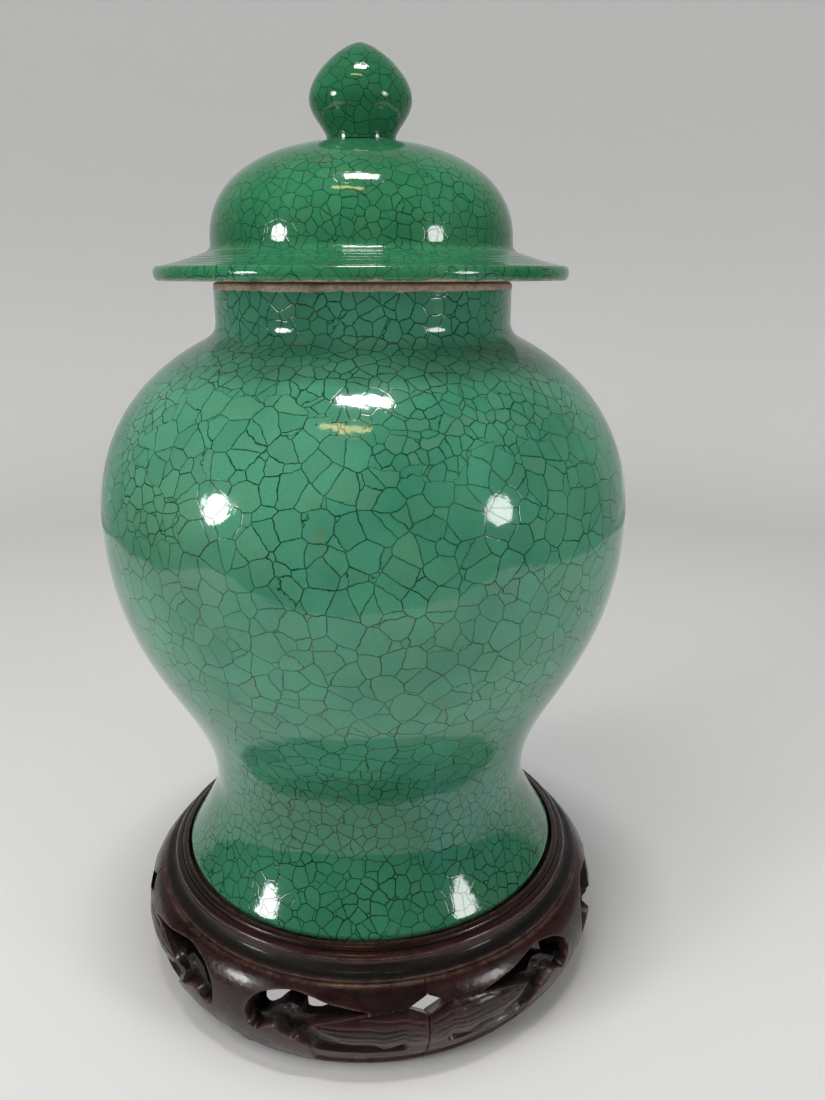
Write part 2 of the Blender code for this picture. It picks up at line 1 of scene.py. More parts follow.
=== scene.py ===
"""Looks of the crackle-glazed ginger jar and its carved stand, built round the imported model."""

from math import cos, pi, radians, sin

import bmesh
import bpy
import numpy as np
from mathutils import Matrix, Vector


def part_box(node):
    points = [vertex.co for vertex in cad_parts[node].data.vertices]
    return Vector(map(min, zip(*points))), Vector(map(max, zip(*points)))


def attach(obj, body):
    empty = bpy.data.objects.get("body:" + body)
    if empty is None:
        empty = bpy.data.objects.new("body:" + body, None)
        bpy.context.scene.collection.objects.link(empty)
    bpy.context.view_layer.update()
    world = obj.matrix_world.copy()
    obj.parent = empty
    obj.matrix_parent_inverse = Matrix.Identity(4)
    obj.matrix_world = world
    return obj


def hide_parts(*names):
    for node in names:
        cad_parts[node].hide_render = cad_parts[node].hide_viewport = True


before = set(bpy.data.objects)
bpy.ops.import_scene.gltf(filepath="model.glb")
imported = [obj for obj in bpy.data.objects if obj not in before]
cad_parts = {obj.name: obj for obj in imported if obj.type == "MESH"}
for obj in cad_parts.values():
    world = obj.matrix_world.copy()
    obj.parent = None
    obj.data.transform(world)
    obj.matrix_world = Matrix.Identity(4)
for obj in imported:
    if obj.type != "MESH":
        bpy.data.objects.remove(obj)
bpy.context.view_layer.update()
MM = 0.001

# ---------------------------------------------------------------- sizes, in millimetres

GAP = 0.3
STAND_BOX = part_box("stand_segment_1")
RIM_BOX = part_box("stand_rim")
JAR_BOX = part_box("jar_body")
LID_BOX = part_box("lid")
APRON_Z = STAND_BOX[0].z / MM
APRON_H = (STAND_BOX[1].z - STAND_BOX[0].z) / MM
RIM_Z = RIM_BOX[0].z / MM
RIM_H = (RIM_BOX[1].z - RIM_BOX[0].z) / MM
JAR_Z = JAR_BOX[0].z / MM
JAR_H = (JAR_BOX[1].z - JAR_BOX[0].z) / MM
COLLAR_H = 9.0
LID_Z = LID_BOX[0].z / MM + COLLAR_H

MOUTH_R = 46.4
NECK_H = 11.8
NECK_FILLET_W = 4.6
NECK_FILLET_H = 6.0
BELLY_R = 85.0
BELLY_H = 129.6
WAIST_R = 54.8
WAIST_H = 34.0
WAIST_RISE = 32.8
WAIST_DROP = 10.2
FOOT_R = 65.8
FOOT_H = 8.6
FOOT_RISE = 0.6
FOOT_RING_R = 62.3
FOOT_RING_W = 6.0
FOOT_RING_H = 4.0
FOOT_RING_EDGE_R = 0.8
FOOT_CURL_H = 5.2
BASE_T = 6.0
WALL = 4.7
GLAZE_END_H = JAR_H - 2.5

FLANGE_R = 63.6
FLANGE_T = 4.1
FLANGE_RISE = 3.6
DOME_R = MOUTH_R
DOME_H = 29.3
DOME_BASE_H = 10.6
DOME_SQUARENESS = 2.3
DOME_FILLET = 2.6
DOME_WALL = 4.3
COLLAR_T = 3.2
COLLAR_PLAY = 1.1
COLLAR_EDGE_R = 0.9
SOCKET_R = 5.35
SOCKET_DEPTH = 2.2
FINGER_RINGS = 11.0
FINGER_RING_DEPTH = 0.14

FINIAL_H = 26.4
FINIAL_R = 15.35
FINIAL_R_H = 10.8
FINIAL_NECK_R = 10.4
SPIGOT_R = 5.0
SPIGOT_H = 1.9
FINIAL_Z = LID_Z + DOME_BASE_H + DOME_H + GAP

RIM_INNER_R = 67.0
RIM_BEAD_R = 71.7
RIM_BEAD_H = 2.6
APRON_TOP_R = 75.8
APRON_BULGE_R = 82.3
APRON_BULGE_H = 17.3
APRON_FOOT_R = 76.4
APRON_WALL = 8.0
LEG_WALL = 14.5
LEG_SPREAD = radians(9.0)
SEAM_HALF_ANGLE = radians(0.13)
PANEL_R = 68.2
REBATE_R = PANEL_R + GAP
PANEL_T = 3.8
LEDGE_DEPTH = 6.5
LEDGE_T = 2.5

LEGS = 4
PAD_H = 1.9
PAD_LENGTH = 14.0
PAD_DEPTH = 8.0
PAD_SETBACK = 1.2

# Carving outlines, (degrees from a seam, share of the apron's height)
POCKET = ((12.9, 0.790), (17.8, 0.834), (21.7, 0.861), (25.5, 0.899), (30.0, 0.922), (34.8, 0.885),
          (37.9, 0.821), (39.9, 0.720), (40.4, 0.608), (39.8, 0.493), (38.1, 0.436), (36.4, 0.486),
          (34.3, 0.534), (31.8, 0.493), (29.6, 0.443), (27.0, 0.473), (26.0, 0.595), (21.4, 0.676),
          (16.4, 0.733))
GROOVE = ((28.8, 0.453), (26.4, 0.358), (24.0, 0.270), (17.1, 0.257), (11.0, 0.250), (5.4, 0.247),
          (4.0, 0.324), (5.4, 0.395), (7.6, 0.372), (9.6, 0.351), (12.3, 0.419), (18.4, 0.436),
          (22.8, 0.514), (25.6, 0.628), (27.6, 0.561))
PIERCING = ((13.9, 0.787), (17.8, 0.821), (21.7, 0.848), (25.5, 0.882), (30.0, 0.905), (34.5, 0.868),
            (37.3, 0.804), (39.2, 0.703), (39.2, 0.561), (36.2, 0.595), (32.0, 0.730), (28.7, 0.740),
            (26.6, 0.662), (21.5, 0.709), (16.6, 0.757))
DIAMOND_HALF_ANGLE = 4.3
DIAMOND_HALF_HEIGHT = 0.112
DIAMOND_MIDDLE = 0.821
PIERCING_SLOPE = 0.15
DIAMOND_SLOPE = 0.7
LEAF_TOP = ((0.0, 0.72), (4.3, 0.815), (8.0, 0.800), (13.4, 0.775), (16.5, 0.745), (21.5, 0.690),
            (26.0, 0.640))
LEAF_FOOT = ((0.0, 0.30), (4.0, 0.33), (5.4, 0.395), (9.6, 0.372), (12.3, 0.419), (18.4, 0.436),
             (22.8, 0.514), (26.0, 0.620))

# Carved lines on each half leaf: (share of its height, weight, where it starts and ends in millimetres)
VEINS = ((0.20, 0.8, 2.0, 30.0), (0.40, 1.0, 0.0, 34.0), (0.58, 0.9, 5.0, 36.0), (0.76, 0.8, 0.0, 24.0))

# ---------------------------------------------------------------- curves and meshes


def bezier(p0, p1, p2, p3, steps):
    """Points of a cubic curve, without its first one."""
    t = np.linspace(0.0, 1.0, steps + 1)[1:, None]
    s = 1.0 - t
    p0, p1, p2, p3 = (np.array(p) for p in (p0, p1, p2, p3))
    curve = s ** 3 * p0 + 3 * s * s * t * p1 + 3 * s * t * t * p2 + t ** 3 * p3
    return [tuple(point) for point in curve]


def arc(centre, radii, start, end, steps):
    """Points on an ellipse, angles in degrees, both ends included."""
    angles = np.radians(np.linspace(start, end, steps + 1))
    return [(centre[0] + radii[0] * cos(a), centre[1] + radii[1] * sin(a)) for a in angles]


def offset_outline(points, distance):
    """The outline moved sideways, to the right of the way it runs."""
    p = np.array(points)
    run = np.gradient(p, axis=0)
    run /= np.linalg.norm(run, axis=1)[:, None]
    moved = np.stack([p[:, 0] + run[:, 1] * distance, p[:, 1] - run[:, 0] * distance], axis=1)
    return [tuple(q) for q in moved]


def new_piece(name, verts, faces, sharp=40.0):
    """A smooth object from points in metres and faces. Edges past sharp degrees stay sharp."""
    mesh = bpy.data.meshes.new(name)
    mesh.from_pydata([tuple(v) for v in verts], [], faces)
    mesh.validate()
    bm = bmesh.new()
    bm.from_mesh(mesh)
    bmesh.ops.remove_doubles(bm, verts=bm.verts, dist=1e-6)
    bmesh.ops.recalc_face_normals(bm, faces=bm.faces)
    bm.to_mesh(mesh)
    bm.free()
    mesh.shade_smooth()
    mesh.set_sharp_from_angle(angle=radians(sharp))
    piece = bpy.data.objects.new(name, mesh)
    bpy.context.scene.collection.objects.link(piece)
    return piece


def turned(name, outline, steps, wobble=0.0, seed=0.0):
    """A turned piece from a closed (radius, height) outline in millimetres, with a slight wobble."""
    outline = np.array(outline)
    count = len(outline)
    angles = np.linspace(0.0, 2.0 * pi, steps, endpoint=False)
    r = outline[None, :, 0] * np.ones((steps, 1))
    z = outline[None, :, 1] * np.ones((steps, 1))
    a = angles[:, None]
    wave = (np.sin(2.0 * a + 0.021 * z + seed) + 0.6 * np.sin(3.0 * a - 0.045 * z + 2.1 * seed)
            + 0.35 * np.sin(7.0 * a + 0.12 * z + 0.7 * seed))
    r = np.where(r > 0.01, r + wobble * wave * np.minimum(1.0, r / 20.0), 0.0)
    verts = np.stack([r * np.cos(a), r * np.sin(a), z], axis=2).reshape(-1, 3) * MM
    faces = []
    for i in range(steps):
        j = (i + 1) % steps
        for k in range(count):
            m = (k + 1) % count
            on_axis = (outline[k, 0] <= 0.01, outline[m, 0] <= 0.01)
            if all(on_axis):
                continue
            if on_axis[0]:
                faces.append((k, i * count + m, j * count + m))
            elif on_axis[1]:
                faces.append((i * count + k, m, j * count + k))
            else:
                faces.append((i * count + k, i * count + m, j * count + m, j * count + k))
    return new_piece(name, verts, faces)


def set_attribute(piece, name, values):
    attribute = piece.data.attributes.new(name, "FLOAT", "POINT")
    attribute.data.foreach_set("value", np.asarray(values, dtype=np.float32))


def vertices(piece):
    co = np.empty(len(piece.data.vertices) * 3)
    piece.data.vertices.foreach_get("co", co)
    return co.reshape(-1, 3)


# ---------------------------------------------------------------- ceramic shapes


def jar_outline():
    """Inside up from the base, over the lip, outside down to the foot, and round the foot ring."""
    neck_foot = (MOUTH_R, JAR_H - NECK_H)
    fillet_end = (MOUTH_R + NECK_FILLET_W, JAR_H - NECK_H - NECK_FILLET_H)
    slope = radians(27.0)
    outside = [(MOUTH_R, z) for z in np.linspace(JAR_H - 1.0, JAR_H - NECK_H, 12)]
    outside += bezier(neck_foot, (MOUTH_R, neck_foot[1] - 3.0),
                      (MOUTH_R + NECK_FILLET_W / 3, fillet_end[1] + 1.5), fillet_end, 10)
    outside += bezier(fillet_end, (fillet_end[0] + 18.0 * cos(slope), fillet_end[1] - 18.0 * sin(slope)),
                      (BELLY_R, BELLY_H + 29.0), (BELLY_R, BELLY_H), 40)
    outside += bezier((BELLY_R, BELLY_H), (BELLY_R, BELLY_H - 50.0), (WAIST_R, WAIST_H + WAIST_RISE),
                      (WAIST_R, WAIST_H), 50)
    outside += bezier((WAIST_R, WAIST_H), (WAIST_R, WAIST_H - WAIST_DROP), (FOOT_R, FOOT_H + FOOT_RISE),
                      (FOOT_R, FOOT_H), 26)
    under = bezier((FOOT_R, FOOT_H), (FOOT_R, FOOT_H - 1.8), (FOOT_R - 0.8, FOOT_CURL_H + 0.6),
                   (FOOT_RING_R + 1.0, FOOT_CURL_H), 8)
    floor = FOOT_RING_H + BASE_T
    inside = [p for p in offset_outline(outside, WALL)[::2] if floor + WALL < p[1] < JAR_H - 2.0]
    corner = inside[-1]
    well = bezier((0.0, floor), (corner[0] * 0.6, floor), (corner[0] - 0.5, floor), corner, 10)
    lip = arc((MOUTH_R - WALL / 2, JAR_H - 1.0), (WALL / 2, 1.0), 180, 0, 10)
    ring_inner = FOOT_RING_R - FOOT_RING_W
    ring = [(FOOT_RING_R, FOOT_CURL_H - 1.0), (FOOT_RING_R, 1.0)]
    edge_radii = (FOOT_RING_EDGE_R, FOOT_RING_EDGE_R)
    ring += arc((FOOT_RING_R - FOOT_RING_EDGE_R, FOOT_RING_EDGE_R), edge_radii, 0, -90, 4)
    ring += arc((ring_inner + FOOT_RING_EDGE_R, FOOT_RING_EDGE_R), edge_radii, -90, -180, 4)
    ring += [(ring_inner - 0.5, FOOT_RING_H), (0.0, FOOT_RING_H)]
    return [(0.0, floor)] + well + inside[-2::-1] + lip + outside[1:] + under + ring


def dome_arc(radius, height, steps, top_r):
    """A slightly squared dome, from its foot in to top_r."""
    a = np.linspace(0.0, 0.5 * pi, steps + 1)
    r = radius - (radius - top_r) * (1.0 - np.cos(a))
    z = height * (1.0 - (r / radius) ** DOME_SQUARENESS) ** (1.0 / DOME_SQUARENESS)
    return list(zip(r, DOME_BASE_H + z))


def lid_outline():
    """Flange, with the rings of the thrower's finger on it, dome, hollow and collar."""
    collar_r = MOUTH_R - WALL - COLLAR_PLAY
    half = FLANGE_T / 2
    edge = arc((FLANGE_R - 1.3, half), (1.3, half), -90, 90, 12)
    rise_end = (DOME_R + DOME_FILLET, FLANGE_T + FLANGE_RISE)
    run = np.linspace(0.0, 1.0, 40)[1:]
    start = edge[-1]
    slope = []
    for t in run:
        rise = (rise_end[1] - start[1]) * t ** 1.25
        ring = FINGER_RING_DEPTH * sin(FINGER_RINGS * pi * t) * t * t * (1.0 - t) * 3.0
        slope.append((start[0] + (rise_end[0] - start[0]) * t, start[1] + rise + ring))
    fillet = bezier(rise_end, (DOME_R + DOME_FILLET / 3, rise_end[1] + 0.5),
                    (DOME_R, DOME_BASE_H - DOME_FILLET / 2), (DOME_R, DOME_BASE_H), 10)
    socket_floor = DOME_BASE_H + DOME_H - SOCKET_DEPTH
    outside = dome_arc(DOME_R, DOME_H, 44, SOCKET_R)[1:]
    hollow = dome_arc(DOME_R - DOME_WALL, DOME_H - DOME_WALL, 24, 0.0)
    inner_r = collar_r - COLLAR_T
    edge_z = -COLLAR_H + COLLAR_EDGE_R
    edge_radii = (COLLAR_EDGE_R, COLLAR_EDGE_R)
    collar = [(inner_r, DOME_BASE_H - DOME_FILLET), (inner_r, edge_z)]
    collar += arc((inner_r + COLLAR_EDGE_R, edge_z), edge_radii, 180, 270, 4)
    collar += arc((collar_r - COLLAR_EDGE_R, edge_z), edge_radii, -90, 0, 4)
    collar += [(collar_r, 0.0)]
    return ([(0.0, socket_floor), (SOCKET_R, socket_floor)] + outside[::-1] + fillet[::-1][1:] + [rise_end]
            + slope[::-1][1:] + edge[::-1] + collar[::-1] + hollow)


def finial_outline():
    """Spigot, neck and bud."""
    waist = (FINIAL_NECK_R, 0.4)
    widest = (FINIAL_R, FINIAL_R_H)
    points = [(0.0, -SPIGOT_H), (SPIGOT_R, -SPIGOT_H), (SPIGOT_R, 0.0), (FINIAL_NECK_R, -0.4), waist]
    points += bezier(waist, (FINIAL_NECK_R, FINIAL_R_H * 0.25), (FINIAL_R, FINIAL_R_H * 0.6), widest, 20)
    points += bezier(widest, (FINIAL_R, FINIAL_R_H + (FINIAL_H - FINIAL_R_H) * 0.42),
                     (FINIAL_R * 0.40, FINIAL_H * 0.955), (0.0, FINIAL_H), 32)
    return points


def raised(outline, height):
    return [(r, z + height) for r, z in outline]


# ---------------------------------------------------------------- carved stand


def rim_outline():
    """Two beads with a groove between them, and a cove below them."""
    lip_r = RIM_INNER_R + 0.5
    bead_z = RIM_H - RIM_BEAD_H
    groove = ((RIM_INNER_R + RIM_BEAD_R) / 2, RIM_H - RIM_BEAD_H * 0.52)
    foot_r = APRON_TOP_R - 0.3
    inner_bead = bezier((lip_r, RIM_H), (lip_r + 0.9, RIM_H + 0.1), (groove[0] - 0.2, RIM_H - 0.2),
                        groove, 10)
    outer_bead = bezier(groove, (groove[0] + 1.0, groove[1] + 0.5), (RIM_BEAD_R, bead_z + 0.9),
                        (RIM_BEAD_R, bead_z), 10)
    cove_top = (RIM_BEAD_R - 0.3, bead_z - 0.5)
    cove = bezier(cove_top, (RIM_BEAD_R - 0.2, bead_z * 0.45), (RIM_BEAD_R + 1.2, 1.1), (foot_r, 0.9), 16)
    inside = [(RIM_INNER_R, 0.0), (RIM_INNER_R, RIM_H - 0.4), (RIM_INNER_R + 0.15, RIM_H - 0.12)]
    inside.append((lip_r, RIM_H))
    step = [(RIM_BEAD_R - 0.12, bead_z - 0.3), cove_top]
    return inside + inner_bead + outer_bead + step + cove + [(foot_r, 0.0)]


def smooth_outline(points, steps):
    """A closed curve through all the points."""
    p = np.array(points)
    a, b, c, d = (np.roll(p, shift, axis=0) for shift in (1, 0, -1, -2))
    parts = [0.5 * (2 * b + (c - a) * t + (2 * a - 5 * b + 4 * c - d) * t * t
                    + (3 * b - a - 3 * c + d) * t ** 3)
             for t in np.arange(steps) / steps]
    return np.stack(parts, axis=1).reshape(-1, 2)


def unrolled(points):
    """(degrees, share of height) to millimetres along and up the apron."""
    p = np.array(points, dtype=float)
    return np.stack([np.radians(p[:, 0]) * APRON_BULGE_R, p[:, 1] * APRON_H], axis=1)


def inside_distance(x, y, outline):
    """Distance from the outline in millimetres, positive inside it."""
    best = np.full(x.shape, 1e9)
    inside = np.zeros(x.shape, dtype=bool)
    for (x1, y1), (x2, y2) in zip(outline, np.roll(outline, -1, axis=0)):
        dx, dy = x2 - x1, y2 - y1
        t = np.clip(((x - x1) * dx + (y - y1) * dy) / (dx * dx + dy * dy + 1e-12), 0.0, 1.0)
        best = np.minimum(best, np.hypot(x - x1 - t * dx, y - y1 - t * dy))
        crosses = ((y1 > y) != (y2 > y)) & (x < dx * (y - y1) / (dy if abs(dy) > 1e-12 else 1e-12) + x1)
        inside ^= crosses
    return np.where(inside, best, -best)


def eased(value, low, high):
    """A smooth step from 0 at low to 1 at high."""
    t = np.clip((value - low) / (high - low), 0.0, 1.0)
    return t * t * (3.0 - 2.0 * t)


def lumps(x, y, cell, seed):
    """Smooth pseudo-random bumps between -1 and 1 with features about one cell wide."""
    total = np.zeros(x.shape)
    rng = np.random.default_rng(seed)
    for _ in range(7):
        angle, phase = rng.uniform(0, 2 * pi, 2)
        k = 2.0 * pi / (cell * rng.uniform(0.8, 2.2))
        total += np.sin(k * (x * cos(angle) + y * sin(angle)) + phase)
    return total / 4.0


POCKET_LINE = unrolled(smooth_outline(POCKET, 6))
GROOVE_LINE = unrolled(smooth_outline(GROOVE, 6))
PIERCING_LINE = unrolled(smooth_outline(PIERCING, 6))
LEAF_TOP_LINE = unrolled(LEAF_TOP)
LEAF_FOOT_LINE = unrolled(LEAF_FOOT)


def relief(angle, height):
    """How deep the carving lies below the turned surface, in millimetres."""
    folded = np.minimum(angle, pi / 2 - angle)
    x = folded * APRON_BULGE_R
    full_x = angle * APRON_BULGE_R
    pocket = inside_distance(x, height, POCKET_LINE)
    groove = inside_distance(x, height, GROOVE_LINE)
    top = np.interp(x, LEAF_TOP_LINE[:, 0], LEAF_TOP_LINE[:, 1])
    foot = np.interp(x, LEAF_FOOT_LINE[:, 0], LEAF_FOOT_LINE[:, 1])
    on_leaf = eased(LEAF_TOP_LINE[-1, 0] - x, 0.0, 1.5)
    below_top = top - height
    leaf = eased(below_top, 0.0, 0.45) * np.exp(-np.clip(below_top, 0, None) / 4.0) * 0.95 * on_leaf
    share = np.clip((height - foot) / np.maximum(top - foot, 0.5), -0.2, 1.2)
    lines = np.zeros(x.shape)
    for place, weight, start, end in VEINS:
        width = 0.36 / np.maximum(top - foot, 2.0)
        line = np.exp(-((share - place - 0.06 * np.sin(x * 0.16 + place * 5.0)) / width) ** 2)
        lines = np.maximum(lines, weight * line * eased(x, start, start + 3.0) * eased(end - x, 0.0, 5.0))
    veins = 0.30 * lines * on_leaf * eased(share, -0.02, 0.08) * eased(1.0 - share, -0.02, 0.06)
    swell = 0.9 * (2.0 * np.clip(share, 0.0, 1.0) - 1.0) ** 2 * on_leaf * eased(below_top, 0.0, 1.0)
    gouges = 0.30 * lumps(full_x, height * 1.6, 2.6, 3) + 0.12 * lumps(full_x, height, 0.9, 5)
    scroll = (1.7 * np.exp(-(((x - 52.0) / 3.2) ** 2 + ((height - 16.0) / 2.6) ** 2))
              + 1.5 * np.exp(-(((x - 43.0) / 3.6) ** 2 + ((height - 19.0) / 2.2) ** 2)))
    pocket_floor = 4.6 - scroll + gouges
    cut = eased(pocket, -0.25, 0.75) * pocket_floor
    groove_depth = np.minimum(np.clip(groove + 0.15, 0, None) * 1.35, 2.7 + 0.4 * gouges)
    channel = eased(groove, -0.2, 0.2) * groove_depth
    depth = np.maximum(np.maximum(leaf + veins + swell, cut), channel)
    tool_marks = 0.035 * lumps(full_x, height * 0.6, 3.5, 11) + 0.02 * lumps(full_x, height, 1.3, 12)
    return depth + tool_marks * eased(depth, -0.5, 0.5)


def outer_section(steps_up, steps_down):
    """The apron's turned outside, from its top edge down."""
    top = (APRON_TOP_R, APRON_H)
    bulge = (APRON_BULGE_R, APRON_BULGE_H)
    foot = (APRON_FOOT_R, 0.8)
    rise = (APRON_H - APRON_BULGE_H) * 0.42
    upper = bezier(top, (APRON_TOP_R + 3.4, APRON_H - 1.9), (APRON_BULGE_R, APRON_BULGE_H + rise), bulge,
                   steps_up)
    lower = bezier(bulge, (APRON_BULGE_R, APRON_BULGE_H * 0.55), (APRON_FOOT_R + 3.1, 4.6), foot,
                   steps_down)
    return [top] + upper + lower


def inner_section(angle):
    """The apron's inside at an angle from the seam: thicker at the leg, with the panel's ledge."""
    nearness = max(0.0, 1.0 - abs(angle - pi / LEGS) / LEG_SPREAD)
    wall = APRON_WALL + (LEG_WALL - APRON_WALL) * nearness * nearness * (3.0 - 2.0 * nearness)
    inner_r = APRON_BULGE_R - wall
    ledge_top = RIM_Z - GAP - PANEL_T - GAP - APRON_Z
    ledge_r = REBATE_R - LEDGE_DEPTH
    under = ledge_top - LEDGE_T
    return [(APRON_FOOT_R - 0.25, 0.2), (APRON_FOOT_R - 0.8, 0.0), (inner_r - 3.6, 0.0),
            (inner_r - 1.2, APRON_H * 0.20), (inner_r, APRON_H * 0.45), (inner_r - 0.4, under - 4.0),
            (ledge_r + 4.0, under - 0.8), (ledge_r, under), (ledge_r, ledge_top), (REBATE_R, ledge_top),
            (REBATE_R, APRON_H)]


def prism(outline, middle, slope, name):
    """A straight prism that points at the axis and falls towards it, from an outline on the apron."""
    out = np.array([cos(middle), sin(middle), 0.0])
    side = np.array([-sin(middle), cos(middle), 0.0])
    across = APRON_BULGE_R * np.sin(outline[:, 0] / APRON_BULGE_R - middle)
    up = np.array([0.0, 0.0, 1.0])
    rings = []
    for distance in (REBATE_R + 1.0, APRON_BULGE_R + 4.0):
        fall = slope * (APRON_BULGE_R - 2.0 - distance)
        rings.append(out * distance + across[:, None] * side + up * (outline[:, 1:2] - fall))
    count = len(outline)
    faces = [(i, (i + 1) % count, count + (i + 1) % count, count + i) for i in range(count)]
    faces += [tuple(range(count)), tuple(range(2 * count - 1, count - 1, -1))]
    tool = new_piece(name, np.vstack(rings) * MM, faces)
    tool.hide_render = True
    return tool


def segment_tools():
    """Cutters for the two pierced parts of a quarter and for its half of the two diamonds."""
    right = APRON_BULGE_R * pi / 2
    mirrored = np.stack([right - PIERCING_LINE[::-1, 0], PIERCING_LINE[::-1, 1]], axis=1)
    tools = []
    for line in (PIERCING_LINE, mirrored):
        middle = (line[:, 0].min() + line[:, 0].max()) / 2 / APRON_BULGE_R
        tools.append(prism(line, middle, PIERCING_SLOPE, "piercing_tool"))
    diamond = unrolled(((-DIAMOND_HALF_ANGLE, DIAMOND_MIDDLE), (0.0, DIAMOND_MIDDLE - DIAMOND_HALF_HEIGHT),
                        (DIAMOND_HALF_ANGLE, DIAMOND_MIDDLE), (0.0, DIAMOND_MIDDLE + DIAMOND_HALF_HEIGHT)))
    for offset in (0.0, right):
        line = diamond + np.array([offset, 0.0])
        tools.append(prism(line, offset / APRON_BULGE_R, DIAMOND_SLOPE, "diamond_tool"))
    return tools


def carved_segment():
    """One quarter of the apron at full detail: a grid whose outside is pushed in to the carving's depth."""
    columns = 520
    outside = np.array(outer_section(64, 84))
    angles = np.linspace(SEAM_HALF_ANGLE, pi / 2 - SEAM_HALF_ANGLE, columns + 1)
    a, r = np.meshgrid(angles, outside[:, 0], indexing="ij")
    z = np.meshgrid(angles, outside[:, 1], indexing="ij")[1]
    depth = relief(a, z)
    margin = eased(APRON_H - z, 0.2, 1.2) * eased(z, 0.8, 1.8)
    r = r - depth * margin
    inner = np.array([inner_section(angle) for angle in angles])
    r = np.hstack([r, inner[:, :, 0]])
    z = np.hstack([z, inner[:, :, 1]])
    a = angles[:, None] * np.ones(r.shape[1])
    verts = np.stack([r * np.cos(a), r * np.sin(a), z], axis=2).reshape(-1, 3) * MM
    count = r.shape[1]
    faces = []
    for i in range(columns):
        for k in range(count):
            m = (k + 1) % count
            faces.append((i * count + k, i * count + m, (i + 1) * count + m, (i + 1) * count + k))
    faces.append(tuple(range(count)))
    faces.append(tuple(range(columns * count + count - 1, columns * count - 1, -1)))
    piece = new_piece("carved_segment", verts, faces)
    tools = segment_tools()
    for tool in tools:
        modifier = piece.modifiers.new(tool.name, "BOOLEAN")
        modifier.operation = "DIFFERENCE"
        modifier.solver = "EXACT"
        modifier.object = tool
    bpy.context.view_layer.update()
    mesh = bpy.data.meshes.new_from_object(piece.evaluated_get(bpy.context.evaluated_depsgraph_get()))
    for tool in tools:
        bpy.data.objects.remove(tool)
    piece.modifiers.clear()
    piece.data = mesh
    mesh.shade_smooth()
    mesh.set_sharp_from_angle(angle=radians(42.0))
    return piece


def set_grain(piece, along, across, up):
    """Stores where each point lies in the wood, in millimetres: along the bent grain, across it and up."""
    grain = np.stack([along, across, up], axis=1).astype(np.float32) * MM
    attribute = piece.data.attributes.new("grain", "FLOAT_VECTOR", "POINT")
    attribute.data.foreach_set("vector", grain.reshape(-1))


def mark_carving(piece):
    """Stores where the wood is hollowed and where its edges are worn, for the material."""
    co = vertices(piece) / MM
    angle = np.arctan2(co[:, 1], co[:, 0])
    radius = np.hypot(co[:, 0], co[:, 1])
    height = co[:, 2]
    profile = np.array(outer_section(40, 40))[::-1]
    nominal = np.interp(height, profile[:, 1], profile[:, 0])
    depth = np.clip(nominal - radius, 0.0, 30.0)
    x = np.minimum(angle, pi / 2 - angle) * APRON_BULGE_R
    pocket = inside_distance(x, height, POCKET_LINE)
    groove = inside_distance(x, height, GROOVE_LINE)
    set_attribute(piece, "hollow", eased(depth, 0.9, 3.2))
    edge = np.maximum(np.exp(-((pocket + 0.15) / 0.45) ** 2), np.exp(-((groove + 0.15) / 0.4) ** 2))
    rims = np.maximum(np.exp(-((height - APRON_H + 0.2) / 0.35) ** 2), np.exp(-((height - 0.5) / 0.5) ** 2))
    carved_edge = edge * eased(1.4 - depth, 0.0, 1.0)
    set_attribute(piece, "edge", np.maximum(carved_edge, rims * eased(radius, 70.0, 74.0)))
    set_grain(piece, angle * APRON_BULGE_R, radius, height)


def mark_turned(piece, edges):
    """The same for a turned piece. The lacquer is worn at edges, each a (radius, height, width)."""
    co = vertices(piece) / MM
    angle = np.arctan2(co[:, 1], co[:, 0])
    radius = np.hypot(co[:, 0], co[:, 1])
    worn = np.zeros(len(co))
    for edge_r, edge_z, width in edges:
        worn = np.maximum(worn, np.exp(-((radius - edge_r) ** 2 + (co[:, 2] - edge_z) ** 2) / width ** 2))
    set_attribute(piece, "edge", worn)
    cove = eased(radius, RIM_BEAD_R - 0.25, RIM_BEAD_R + 0.1) * eased(APRON_TOP_R - 0.6 - radius, 0.0, 0.8)
    set_attribute(piece, "hollow", cove * eased(RIM_Z + RIM_H - RIM_BEAD_H - 0.4 - co[:, 2], 0.0, 0.5))
    set_grain(piece, angle * 40.0, radius, co[:, 2])


def foot_pad(name, number):
    """An oval pad with a rounded lower edge, under one leg."""
    steps = 48
    rings = [(0.0, 0.0), (0.80, 0.0), (0.88, 0.12), (0.945, 0.40), (0.985, 0.85), (1.0, 1.30), (1.0, PAD_H),
             (0.0, PAD_H)]
    at = APRON_FOOT_R - PAD_SETBACK - PAD_DEPTH / 2
    turn = (number + 0.5) * 2.0 * pi / LEGS
    out = np.array([cos(turn), sin(turn)])
    side = np.array([-sin(turn), cos(turn)])
    verts = []
    for share, height in rings:
        for i in range(steps):
            a = 2.0 * pi * i / steps
            outwards = out * (at + share * PAD_DEPTH / 2 * cos(a))
            flat = (outwards + side * share * PAD_LENGTH / 2 * sin(a)) * MM
            verts.append((flat[0], flat[1], height * MM))
    faces = []
    for k in range(len(rings) - 1):
        for i in range(steps):
            j = (i + 1) % steps
            faces.append((k * steps + i, k * steps + j, (k + 1) * steps + j, (k + 1) * steps + i))
    return new_piece(name, verts, faces)


# ---------------------------------------------------------------- materials


